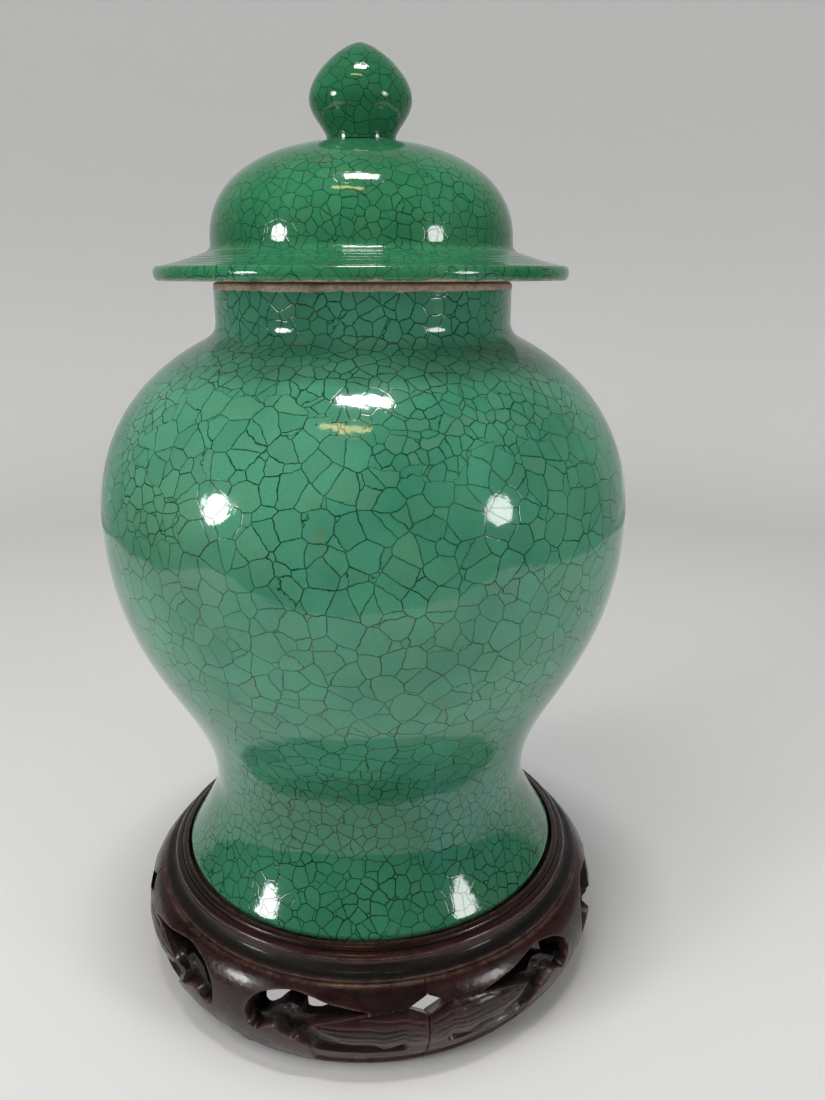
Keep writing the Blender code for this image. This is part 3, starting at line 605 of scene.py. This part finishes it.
class Graph:
    """Short ways to add shader nodes to one material."""

    def __init__(self, name):
        self.material = bpy.data.materials.new(name)
        self.material.use_nodes = True
        self.nodes = self.material.node_tree.nodes
        self.links = self.material.node_tree.links
        self.shader = self.nodes["Principled BSDF"]

    def feed(self, socket, value):
        if isinstance(value, bpy.types.NodeSocket):
            self.links.new(value, socket)
        elif value is not None:
            socket.default_value = value

    def add(self, kind, values=None, **settings):
        node = self.nodes.new("ShaderNode" + kind)
        for key, value in settings.items():
            setattr(node, key, value)
        for key, value in (values or {}).items():
            self.feed(node.inputs[key], value)
        return node

    def math(self, operation, a, b=None, c=None):
        node = self.add("Math", operation=operation)
        for socket, value in zip(node.inputs, (a, b, c)):
            self.feed(socket, value)
        return node.outputs[0]

    def vector(self, operation, a, b=None):
        node = self.add("VectorMath", operation=operation)
        self.feed(node.inputs[0], a)
        self.feed(node.inputs[3 if operation == "SCALE" else 1], b)
        return node.outputs[0]

    def span(self, value, low, high, to_low=0.0, to_high=1.0):
        node = self.add("MapRange", {"Value": value, "From Min": low, "From Max": high, "To Min": to_low,
                                     "To Max": to_high}, interpolation_type="SMOOTHSTEP")
        return node.outputs[0]

    def mix(self, share, a, b, blend="MIX"):
        node = self.add("Mix", data_type="RGBA", blend_type=blend, clamp_factor=True)
        self.feed(node.inputs[0], share)
        for socket, value in ((node.inputs[6], a), (node.inputs[7], b)):
            self.feed(socket, (*value, 1.0) if isinstance(value, tuple) and len(value) == 3 else value)
        return node.outputs[2]

    def noise(self, vector, scale, detail=2.0, roughness=0.5, out="Fac"):
        values = {"Vector": vector, "Scale": scale, "Detail": detail, "Roughness": roughness}
        return self.add("TexNoise", values).outputs[out]

    def voronoi(self, vector, scale, feature, out, randomness=1.0):
        values = {"Vector": vector, "Scale": scale, "Randomness": randomness}
        return self.add("TexVoronoi", values, feature=feature).outputs[out]


CELL_RANDOMNESS = 0.88
GLAZE_EDGE = 0.00035            # metres over which the glaze ends
SLOPE_STEP = 0.00002            # metres between the points that a crack's slope is taken from


def crack_level(g, vector, tangents, cell, width):
    """One network of cracks: how strongly a point lies on a line, and the colour and place of its cell.

    The cells are solid, so the distance to a cell's wall is divided by its slope along the surface.
    That keeps a line's width even where the wall meets the surface at a shallow angle.
    """
    scale = 1000.0 / cell
    distance = g.voronoi(vector, scale, "DISTANCE_TO_EDGE", "Distance", CELL_RANDOMNESS)
    slopes = []
    for tangent in tangents:
        beside = g.vector("ADD", vector, g.vector("SCALE", tangent, SLOPE_STEP))
        beside_distance = g.voronoi(beside, scale, "DISTANCE_TO_EDGE", "Distance", CELL_RANDOMNESS)
        change = g.math("SUBTRACT", beside_distance, distance)
        slopes.append(g.math("MULTIPLY", change, change))
    slope = g.math("DIVIDE", g.math("SQRT", g.math("ADD", slopes[0], slopes[1])), SLOPE_STEP * scale)
    distance = g.math("DIVIDE", distance, g.math("MAXIMUM", slope, 0.06))
    half = 0.5 * width * scale / 1000.0
    line = g.span(distance, half * 0.55, half * 1.45, 1.0, 0.0)
    colour = g.voronoi(vector, scale, "F1", "Color", CELL_RANDOMNESS)
    middle = g.voronoi(vector, scale, "F1", "Position", CELL_RANDOMNESS)
    return line, colour, middle


def glaze(name, green, deep, cells, bare_above=None, bare_below=None, fine_below=None, fine_above=None):
    """Green glaze with a stained crackle.

    cells are (cell size, line width) in millimetres for the wide network and for the fine one.
    The fine one takes over in patches, below fine_below and above fine_above.
    Below fine_below the glaze is darker too, partly a deeper green and partly painted shade. It ends at
    bare_above and bare_below, all heights in metres.
    """
    g = Graph(name)
    place = g.add("TexCoord").outputs["Object"]
    height = g.add("SeparateXYZ", {"Vector": place}).outputs["Z"]
    bend = g.vector("SUBTRACT", g.noise(place, 60.0, 2.0, 0.5, "Color"), (0.5, 0.5, 0.5))
    jitter = g.vector("SUBTRACT", g.noise(place, 420.0, 2.0, 0.6, "Color"), (0.5, 0.5, 0.5))
    vector = g.vector("ADD", place, g.vector("SCALE", bend, 0.0045))
    vector = g.vector("ADD", vector, g.vector("SCALE", jitter, 0.0009))
    normal = g.add("NewGeometry").outputs["Normal"]
    first = g.vector("NORMALIZE", g.vector("CROSS_PRODUCT", normal, (0.31, 0.52, 0.795)))
    tangents = (first, g.vector("CROSS_PRODUCT", normal, first))
    wide_lines, wide_colour, middle = crack_level(g, vector, tangents, *cells[0])
    fine_lines, fine_colour, _ = crack_level(g, vector, tangents, *cells[1])
    middle_height = g.add("SeparateXYZ", {"Vector": middle}).outputs["Z"]
    fineness = g.math("MULTIPLY", g.math("SUBTRACT", g.noise(middle, 22.0, 1.0), 0.5), 2.4)
    low = 0.0
    if fine_below is not None:
        drift = g.math("MULTIPLY", g.math("SUBTRACT", g.noise(place, 30.0), 0.5), 0.03)
        drifted = g.math("ADD", height, drift)
        low = g.span(drifted, fine_below - 0.012, fine_below + 0.012, 1.0, 0.0)
        low_cells = g.span(middle_height, fine_below - 0.025, fine_below + 0.015, 1.0, 0.0)
        fineness = g.math("ADD", fineness, low_cells)
    if fine_above is not None:
        fineness = g.math("ADD", fineness, g.span(middle_height, fine_above - 0.025, fine_above + 0.025))
    fine = g.math("GREATER_THAN", fineness, 0.45)
    lines = g.add("Mix", {0: fine, 2: wide_lines, 3: fine_lines}).outputs[0]
    cell_colour = g.mix(fine, wide_colour, fine_colour)
    strength = g.span(g.noise(place, 70.0, 3.0, 0.6), 0.32, 0.62, 0.62, 1.0)
    lines_shown = g.math("MULTIPLY", lines, strength)

    tone = g.add("SeparateXYZ", {"Vector": cell_colour}).outputs["X"]
    hue = g.add("SeparateXYZ", {"Vector": cell_colour}).outputs["Y"]
    cloud = g.noise(place, 24.0, 4.0, 0.55)
    base = g.mix(g.span(cloud, 0.35, 0.68), green, deep)
    base = g.mix(g.span(tone, 0.0, 1.0, 0.0, 0.30), base, tuple(0.62 * c for c in green))
    base = g.mix(g.span(hue, 0.55, 1.0, 0.0, 0.20), base, (green[0] * 1.9, green[1] * 0.96, green[2] * 0.78))
    patch = g.noise(place, 11.0, 2.0, 0.5)
    yellowish = (green[0] * 2.4, green[1] * 0.90, green[2] * 0.82)
    base = g.mix(g.span(patch, 0.54, 0.70, 0.0, 0.22), base, yellowish)
    if fine_below is not None:
        # Foot and waist painted darker: partly the glaze's deeper green, partly painted shade low on the
        # jar.
        base = g.mix(g.math("MULTIPLY", low, 0.60), base, (0.50 * deep[0], 0.68 * deep[1], 0.52 * deep[2]))
        # Painted reflection: blue patches in the glaze colour on the lower belly stand in for the bluish
        # sheen where the floor is reflected.
        blue_noise = g.noise(g.vector("ADD", place, (6.1, 0.3, 2.2)), 17.0, 3.0, 0.6)
        painted_blue_sheen = g.span(blue_noise, 0.52, 0.68, 0.0, 0.30)
        painted_blue_sheen = g.math("MULTIPLY", painted_blue_sheen, g.span(height, fine_below + 0.050, fine_below + 0.085, 1.0, 0.0))
        base = g.mix(painted_blue_sheen, base, (green[0] * 0.8, green[1] * 0.92, green[2] * 1.35))
    stain = g.noise(g.vector("ADD", place, (3.1, 1.7, 0.4)), 65.0, 3.0, 0.6)
    base = g.mix(g.span(stain, 0.70, 0.80, 0.0, 0.40), base, (0.16, 0.13, 0.05))
    milky = g.span(g.noise(place, 1400.0, 2.0, 0.7), 0.3, 0.7, 0.95, 1.05)
    base = g.mix(1.0, base, g.add("CombineXYZ", {"X": milky, "Y": milky, "Z": milky}).outputs[0], "MULTIPLY")

    brown = g.span(g.noise(g.vector("ADD", place, (0.7, 2.2, 5.0)), 40.0, 2.0), 0.54, 0.70)
    ink = g.mix(brown, (0.0075, 0.044, 0.026), (0.040, 0.050, 0.022))
    if fine_below is not None:
        ink = g.mix(g.math("MULTIPLY", low, 0.80), ink, (0.004, 0.016, 0.009))
    base = g.mix(g.math("MULTIPLY", lines, 0.35), base, deep)
    base = g.mix(lines_shown, base, ink)

    pit_place = g.vector("ADD", place, (1.3, 0.2, 0.9))
    pits = g.voronoi(pit_place, 95.0, "F1", "Distance")
    pit_colour = g.voronoi(pit_place, 95.0, "F1", "Color")
    pit_pick = g.add("SeparateXYZ", {"Vector": pit_colour}).outputs["X"]
    pit = g.math("MULTIPLY", g.span(pits, 0.02, 0.045, 1.0, 0.0), g.math("GREATER_THAN", pit_pick, 0.80))
    base = g.mix(g.math("MULTIPLY", pit, 0.8), base, (0.012, 0.028, 0.018))

    gloss = g.span(g.noise(place, 160.0, 3.0, 0.6), 0.3, 0.75, 0.045, 0.10)
    bare = None
    edge_wave = g.math("MULTIPLY", g.math("SUBTRACT", g.noise(place, 230.0, 3.0, 0.6), 0.5), 0.0016)
    wavy = g.math("ADD", height, edge_wave)
    for limit, sign in ((bare_above, 1.0), (bare_below, -1.0)):
        if limit is None:
            continue
        if sign > 0:
            share = g.span(wavy, limit, limit + GLAZE_EDGE)
        else:
            share = g.span(wavy, limit - GLAZE_EDGE, limit, 1.0, 0.0)
        bare = share if bare is None else g.math("MAXIMUM", bare, share)
    if bare is not None:
        clay_noise = g.noise(place, 900.0, 4.0, 0.7)
        clay = g.mix(g.span(clay_noise, 0.35, 0.65), (0.30, 0.22, 0.155), (0.46, 0.37, 0.29))
        clay = g.mix(g.span(g.noise(place, 120.0, 3.0), 0.5, 0.7, 0.0, 0.7), clay, (0.20, 0.095, 0.055))
        base = g.mix(bare, base, clay)
        gloss = g.math("ADD", gloss, g.math("MULTIPLY", bare, 0.55))
    g.feed(g.shader.inputs["Base Color"], base)
    g.feed(g.shader.inputs["Roughness"], gloss)
    g.shader.inputs["IOR"].default_value = 1.5

    ripple = g.add("Bump", {"Height": g.noise(place, 90.0, 2.0, 0.5), "Strength": 0.10, "Distance": 0.0016})
    orange = g.add("Bump", {"Height": g.noise(place, 520.0, 2.0, 0.5), "Strength": 0.06, "Distance": 0.0004,
                            "Normal": ripple.outputs[0]})
    sunk = g.math("SUBTRACT", 1.0, g.math("ADD", g.math("MULTIPLY", lines, 0.6), pit))
    grooves = g.add("Bump", {"Height": sunk, "Strength": 0.12, "Distance": 0.00012,
                             "Normal": orange.outputs[0]})
    g.feed(g.shader.inputs["Normal"], grooves.outputs[0])
    return g.material


def rosewood(name):
    """Dark lacquered rosewood. Hollows are rough and a darker olive brown, partly raw wood and partly
    painted shade; worn edges are lighter.
    """
    g = Graph(name)
    place = g.add("Attribute", attribute_name="grain").outputs["Vector"]
    hollow = g.add("Attribute", attribute_name="hollow").outputs["Fac"]
    edge = g.add("Attribute", attribute_name="edge").outputs["Fac"]
    world = g.add("TexCoord").outputs["Object"]
    stretched = g.vector("MULTIPLY", place, (14.0, 150.0, 190.0))
    warp = g.vector("SUBTRACT", g.noise(place, 45.0, 2.0, 0.5, "Color"), (0.5, 0.5, 0.5))
    stretched = g.vector("ADD", stretched, g.vector("SCALE", warp, 0.9))
    grain = g.noise(stretched, 1.0, 5.0, 0.62)
    pores = g.noise(g.vector("MULTIPLY", place, (60.0, 1500.0, 1500.0)), 1.0, 2.0, 0.6)
    base = g.mix(g.span(grain, 0.32, 0.68), (0.0080, 0.0030, 0.0032), (0.030, 0.0090, 0.0095))
    base = g.mix(g.span(g.noise(world, 40.0, 3.0), 0.45, 0.70, 0.0, 0.55), base, (0.038, 0.0115, 0.0115))
    base = g.mix(g.span(pores, 0.60, 0.72, 0.0, 0.6), base, (0.004, 0.0022, 0.0022))
    # Hollows and the cove: rough raw wood, painted darker as shade in the recesses.
    scuffs = g.noise(world, 700.0, 3.0, 0.7)
    raw_and_shaded = g.mix(g.span(scuffs, 0.35, 0.7), (0.0020, 0.0015, 0.0012), (0.0085, 0.0066, 0.0046))
    base = g.mix(g.math("MULTIPLY", hollow, 0.85), base, raw_and_shaded)
    wear = g.math("MULTIPLY", edge, g.span(g.noise(world, 260.0, 3.0, 0.65), 0.36, 0.60, 0.15, 1.0))
    base = g.mix(g.math("MULTIPLY", wear, 0.75), base, (0.105, 0.055, 0.042))
    g.feed(g.shader.inputs["Base Color"], base)
    gloss = g.span(g.noise(world, 110.0, 4.0, 0.6), 0.3, 0.7, 0.20, 0.40)
    gloss = g.math("ADD", gloss, g.math("MULTIPLY", hollow, 0.25))
    g.feed(g.shader.inputs["Roughness"], gloss)
    g.shader.inputs["IOR"].default_value = 1.38
    g.shader.inputs["Coat Weight"].default_value = 0.20
    g.shader.inputs["Coat Roughness"].default_value = 0.12
    relief_height = g.math("ADD", g.math("MULTIPLY", grain, 0.5), g.math("MULTIPLY", pores, -0.5))
    fine = g.add("Bump", {"Height": relief_height, "Strength": 0.22, "Distance": 0.00025})
    wide = g.add("Bump", {"Height": g.noise(world, 210.0, 3.0, 0.6), "Strength": 0.22, "Distance": 0.0005,
                          "Normal": fine.outputs[0]})
    rough = g.math("MULTIPLY", g.noise(world, 900.0, 3.0, 0.7), hollow)
    raw_bump = g.add("Bump", {"Height": rough, "Strength": 0.6, "Distance": 0.0004,
                              "Normal": wide.outputs[0]})
    g.feed(g.shader.inputs["Normal"], raw_bump.outputs[0])
    return g.material


def plain_wood(name):
    """Thinly stained, unpolished wood, for the panel and the dowels."""
    g = Graph(name)
    place = g.add("TexCoord").outputs["Object"]
    warp = g.vector("SUBTRACT", g.noise(place, 18.0, 2.0, 0.5, "Color"), (0.5, 0.5, 0.5))
    along = g.vector("ADD", g.vector("MULTIPLY", place, (9.0, 120.0, 60.0)), g.vector("SCALE", warp, 1.4))
    grain = g.noise(along, 1.0, 6.0, 0.6)
    pores = g.noise(g.vector("MULTIPLY", place, (55.0, 1400.0, 1400.0)), 1.0, 2.0, 0.6)
    base = g.mix(g.span(grain, 0.3, 0.7), (0.085, 0.042, 0.022), (0.21, 0.115, 0.060))
    base = g.mix(g.span(pores, 0.58, 0.70, 0.0, 0.6), base, (0.040, 0.020, 0.012))
    g.feed(g.shader.inputs["Base Color"], base)
    g.feed(g.shader.inputs["Roughness"], g.span(grain, 0.3, 0.7, 0.72, 0.55))
    bump = g.add("Bump", {"Height": g.math("SUBTRACT", grain, pores), "Strength": 0.25, "Distance": 0.0003})
    g.feed(g.shader.inputs["Normal"], bump.outputs[0])
    return g.material


def paper(name, far_glow=0.0):
    """Pale paper, painted greyer up the wall as shade. far_glow lights it where the lamps do not reach."""
    g = Graph(name)
    place = g.add("TexCoord").outputs["Object"]
    base = g.mix(g.noise(place, 3.0, 2.0), (0.64, 0.64, 0.64), (0.67, 0.67, 0.667))
    height = g.add("SeparateXYZ", {"Vector": place}).outputs["Z"]
    # Painted shade: the paper is greyer up the wall, where less light falls.
    base = g.mix(g.span(height, 0.0, 0.45), base, (0.535, 0.538, 0.54))
    g.feed(g.shader.inputs["Base Color"], base)
    if far_glow:
        reach = g.add("VectorMath", {0: place}, operation="LENGTH").outputs["Value"]
        g.shader.inputs["Emission Color"].default_value = (1.0, 1.0, 1.0, 1.0)
        g.feed(g.shader.inputs["Emission Strength"], g.span(reach, 0.45, 0.95, 0.0, far_glow))
    g.shader.inputs["Roughness"].default_value = 0.85
    g.shader.inputs["Specular IOR Level"].default_value = 0.1
    return g.material


# ---------------------------------------------------------------- the object

JAR_GREEN = (0.062, 0.252, 0.156)
JAR_DEEP = (0.034, 0.176, 0.104)
LID_GREEN = (0.037, 0.206, 0.098)
LID_DEEP = (0.020, 0.136, 0.060)
FINIAL_GREEN = (0.024, 0.150, 0.068)
FINIAL_DEEP = (0.014, 0.104, 0.044)
jar_glaze = glaze("jar_glaze", JAR_GREEN, JAR_DEEP, ((6.4, 0.32), (4.3, 0.34)),
                  bare_above=(JAR_Z + GLAZE_END_H) * MM, bare_below=(JAR_Z + FOOT_CURL_H + 1.2) * MM,
                  fine_below=0.086, fine_above=0.198)
lid_glaze = glaze("lid_glaze", LID_GREEN, LID_DEEP, ((3.5, 0.26), (2.9, 0.24)),
                  bare_below=(LID_Z + 0.55) * MM)
finial_glaze = glaze("finial_glaze", FINIAL_GREEN, FINIAL_DEEP, ((3.7, 0.28), (3.0, 0.26)))
wood = rosewood("rosewood")
hidden_wood = plain_wood("plain_wood")

jar = turned("jar_surface", raised(jar_outline(), JAR_Z), 288, wobble=0.10, seed=0.4)
lid = turned("lid_surface", raised(lid_outline(), LID_Z), 256, wobble=0.07, seed=2.0)
finial = turned("finial_surface", raised(finial_outline(), FINIAL_Z), 128, wobble=0.05, seed=4.0)
for piece, material, body, node in ((jar, jar_glaze, "jar", "jar_body"), (lid, lid_glaze, "lid", "lid"),
                                    (finial, finial_glaze, "lid", "lid_finial")):
    piece.data.materials.append(material)
    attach(piece, body)
    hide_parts(node)

rim = turned("rim_turning", raised(rim_outline(), RIM_Z), 256, wobble=0.04, seed=1.0)
mark_turned(rim, ((RIM_BEAD_R, RIM_Z + RIM_H - RIM_BEAD_H + 0.1, 0.5),
                  (RIM_INNER_R + 0.4, RIM_Z + RIM_H, 0.5), (APRON_TOP_R - 0.3, RIM_Z + 0.8, 0.4)))
rim.data.materials.append(wood)
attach(rim, "stand")
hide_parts("stand_rim")

master = carved_segment()
mark_carving(master)
master_mesh = master.data
bpy.data.objects.remove(master)
for number in range(LEGS):
    mesh = master_mesh.copy()
    mesh.name = f"carved_segment_{number + 1}"
    co = np.empty(len(mesh.vertices) * 3)
    mesh.vertices.foreach_get("co", co)
    co = co.reshape(-1, 3)
    turn = number * pi / 2
    spun = np.stack([co[:, 0] * cos(turn) - co[:, 1] * sin(turn),
                     co[:, 0] * sin(turn) + co[:, 1] * cos(turn),
                     co[:, 2] + APRON_Z * MM], axis=1)
    mesh.vertices.foreach_set("co", spun.reshape(-1))
    grain = mesh.attributes["grain"]
    values = np.empty(len(mesh.vertices) * 3, dtype=np.float32)
    grain.data.foreach_get("vector", values)
    values = values.reshape(-1, 3) + np.array([0.31 * number, 0.0, 0.17 * number], dtype=np.float32)
    grain.data.foreach_set("vector", values.reshape(-1))
    mesh.materials.clear()
    mesh.materials.append(wood)
    mesh.update()
    segment = bpy.data.objects.new(mesh.name, mesh)
    bpy.context.scene.collection.objects.link(segment)
    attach(segment, "stand")
    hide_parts(f"stand_segment_{number + 1}")
    pad = foot_pad(f"foot_pad_turned_{number + 1}", number)
    pad.data.materials.append(wood)
    mark_turned(pad, ())
    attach(pad, "stand")
    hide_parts(f"foot_pad_{number + 1}")
    for node in (f"seam_dowel_{number + 1}", f"rim_dowel_{number + 1}"):
        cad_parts[node].material_slots[0].material = hidden_wood
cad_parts["stand_panel"].material_slots[0].material = hidden_wood

# ---------------------------------------------------------------- camera, floor and light

VIEW_TURN = radians(14.6)
VIEW_PITCH = radians(17.17)
VIEW_BACK = 0.2948
VIEW_RIGHT = 0.0154
VIEW_HEIGHT = 0.2358
SENSOR_HEIGHT = 36.0
LENS = 29.45
ahead = Vector((sin(VIEW_TURN), cos(VIEW_TURN), 0.0))
across = Vector((cos(VIEW_TURN), -sin(VIEW_TURN), 0.0))
camera = bpy.data.objects.new("camera", bpy.data.cameras.new("camera"))
bpy.context.scene.collection.objects.link(camera)
camera.location = ahead * -VIEW_BACK + across * VIEW_RIGHT + Vector((0.0, 0.0, VIEW_HEIGHT))
camera.rotation_euler = (pi / 2 - VIEW_PITCH, 0.0, -VIEW_TURN)
camera.data.sensor_fit = "VERTICAL"
camera.data.sensor_height = SENSOR_HEIGHT
camera.data.lens = LENS
camera.data.clip_start = 0.01
bpy.context.scene.camera = camera
bpy.context.scene.view_settings.view_transform = "Standard"


def ring_points(radius, height, count):
    """Points of a circle round the axis, in metres."""
    turns = [2 * pi * i / count for i in range(count)]
    return [(radius * cos(turn), radius * sin(turn), height) for turn in turns]


FLAT_R = 620.0
WALL_R = 900.0
WALL_BASE_H = 300.0
WALL_TOP_H = 800.0
sweep_outline = [(0.0, 0.0), (300.0, 0.0), (FLAT_R, 0.0)]
sweep_outline += bezier((FLAT_R, 0.0), (FLAT_R + 180.0, 0.0), (WALL_R, 90.0), (WALL_R, WALL_BASE_H), 16)
sweep_outline.append((WALL_R, WALL_TOP_H))
steps = 96
verts = []
for r, z in sweep_outline:
    verts += ring_points(r * MM, z * MM, steps)
faces = [(k * steps + i, k * steps + (i + 1) % steps, (k + 1) * steps + (i + 1) % steps, (k + 1) * steps + i)
         for k in range(len(sweep_outline) - 1) for i in range(steps)]
sweep = new_piece("paper_sweep", verts, faces, sharp=180.0)
sweep.data.materials.append(paper("paper"))
sweep.visible_glossy = False

PAPER_FRONT = 0.355
PAPER_SIDE = 0.55
PAPER_BACK = 3.0
paper_corners = [ahead * distance + across * side + Vector((0.0, 0.0, 0.0002))
                 for distance, side in ((-PAPER_FRONT, -PAPER_SIDE), (-PAPER_FRONT, PAPER_SIDE),
                                        (PAPER_BACK, PAPER_SIDE), (PAPER_BACK, -PAPER_SIDE))]
near_floor = new_piece("near_floor", paper_corners, [(0, 1, 2, 3)])
near_floor.data.materials.append(paper("floor_in_reflections", far_glow=0.40))
near_floor.visible_camera = False
near_floor.visible_diffuse = False
near_floor.visible_shadow = False

# Painted light: a glowing disc on the floor under the stand, seen through the piercings, stands in for light
# bounced in under the stand.
UNDER_R = 0.060
UNDER_STEPS = 64
under_ring = ring_points(UNDER_R, 0.0003, UNDER_STEPS)
under = new_piece("glowing_floor_under_stand", under_ring, [tuple(range(UNDER_STEPS))])
under_paper = Graph("glowing_paper")
under_paper.shader.inputs["Base Color"].default_value = (0.8, 0.8, 0.8, 1.0)
under_paper.shader.inputs["Emission Color"].default_value = (1.0, 1.0, 1.0, 1.0)
under_paper.shader.inputs["Emission Strength"].default_value = 0.40
under.data.materials.append(under_paper.material)


LAMP_AIM = Vector((0.0, 0.0, 0.17))


def lamp(name, bearing, elevation, distance, size, power, colour=(1.0, 1.0, 1.0), shape="DISK", size_y=None):
    """An area lamp that faces the jar. Its bearing is in degrees to the right of the viewing side."""
    turn = radians(bearing)
    rise = radians(elevation)
    towards = (ahead * -cos(turn) + across * sin(turn)) * cos(rise) + Vector((0.0, 0.0, sin(rise)))
    light = bpy.data.lights.new(name, "AREA")
    light.shape = shape
    light.size = size
    if size_y is not None:
        light.size_y = size_y
    light.energy = power
    light.color = colour
    lamp_object = bpy.data.objects.new(name, light)
    bpy.context.scene.collection.objects.link(lamp_object)
    lamp_object.location = LAMP_AIM + towards * distance
    lamp_object.rotation_euler = (-towards).to_track_quat("-Z", "Y").to_euler()
    return lamp_object


lamp("left_softbox", -58.0, 11.0, 0.85, 0.19, 2.4, shape="ELLIPSE", size_y=0.22)
lamp("right_softbox", 56.0, 11.0, 0.85, 0.19, 1.6, shape="ELLIPSE", size_y=0.22)
lamp("overhead", 0.0, 83.0, 1.0, 0.26, 5.0, shape="RECTANGLE", size_y=0.11)
lamp("warm_streak", -14.0, 66.0, 1.0, 0.28, 0.6, (1.0, 0.75, 0.30), shape="RECTANGLE", size_y=0.06)
high_left = lamp("high_left", -42.0, 54.0, 1.1, 0.60, 3.4)
high_left.visible_glossy = False

ROOM_LIGHT = 0.255
world = bpy.data.worlds.new("studio")
bpy.context.scene.world = world
world.use_nodes = True
nodes, links = world.node_tree.nodes, world.node_tree.links
background = nodes["Background"]
direction = nodes.new("ShaderNodeTexCoord").outputs["Generated"]
dot = nodes.new("ShaderNodeVectorMath")
dot.operation = "DOT_PRODUCT"
links.new(direction, dot.inputs[0])
dot.inputs[1].default_value = ahead
# What a reflection shows: dark behind the viewer, pale straight ahead
room = nodes.new("ShaderNodeMapRange")
room.interpolation_type = "SMOOTHSTEP"
links.new(dot.outputs["Value"], room.inputs["Value"])
room.inputs["From Min"].default_value = 0.15
room.inputs["From Max"].default_value = 0.95
room.inputs["To Min"].default_value = 0.03
room.inputs["To Max"].default_value = 0.42
path = nodes.new("ShaderNodeLightPath")
choose = nodes.new("ShaderNodeMix")
links.new(path.outputs["Is Glossy Ray"], choose.inputs[0])
choose.inputs[2].default_value = ROOM_LIGHT
links.new(room.outputs[0], choose.inputs[3])
links.new(choose.outputs[0], background.inputs["Color"])
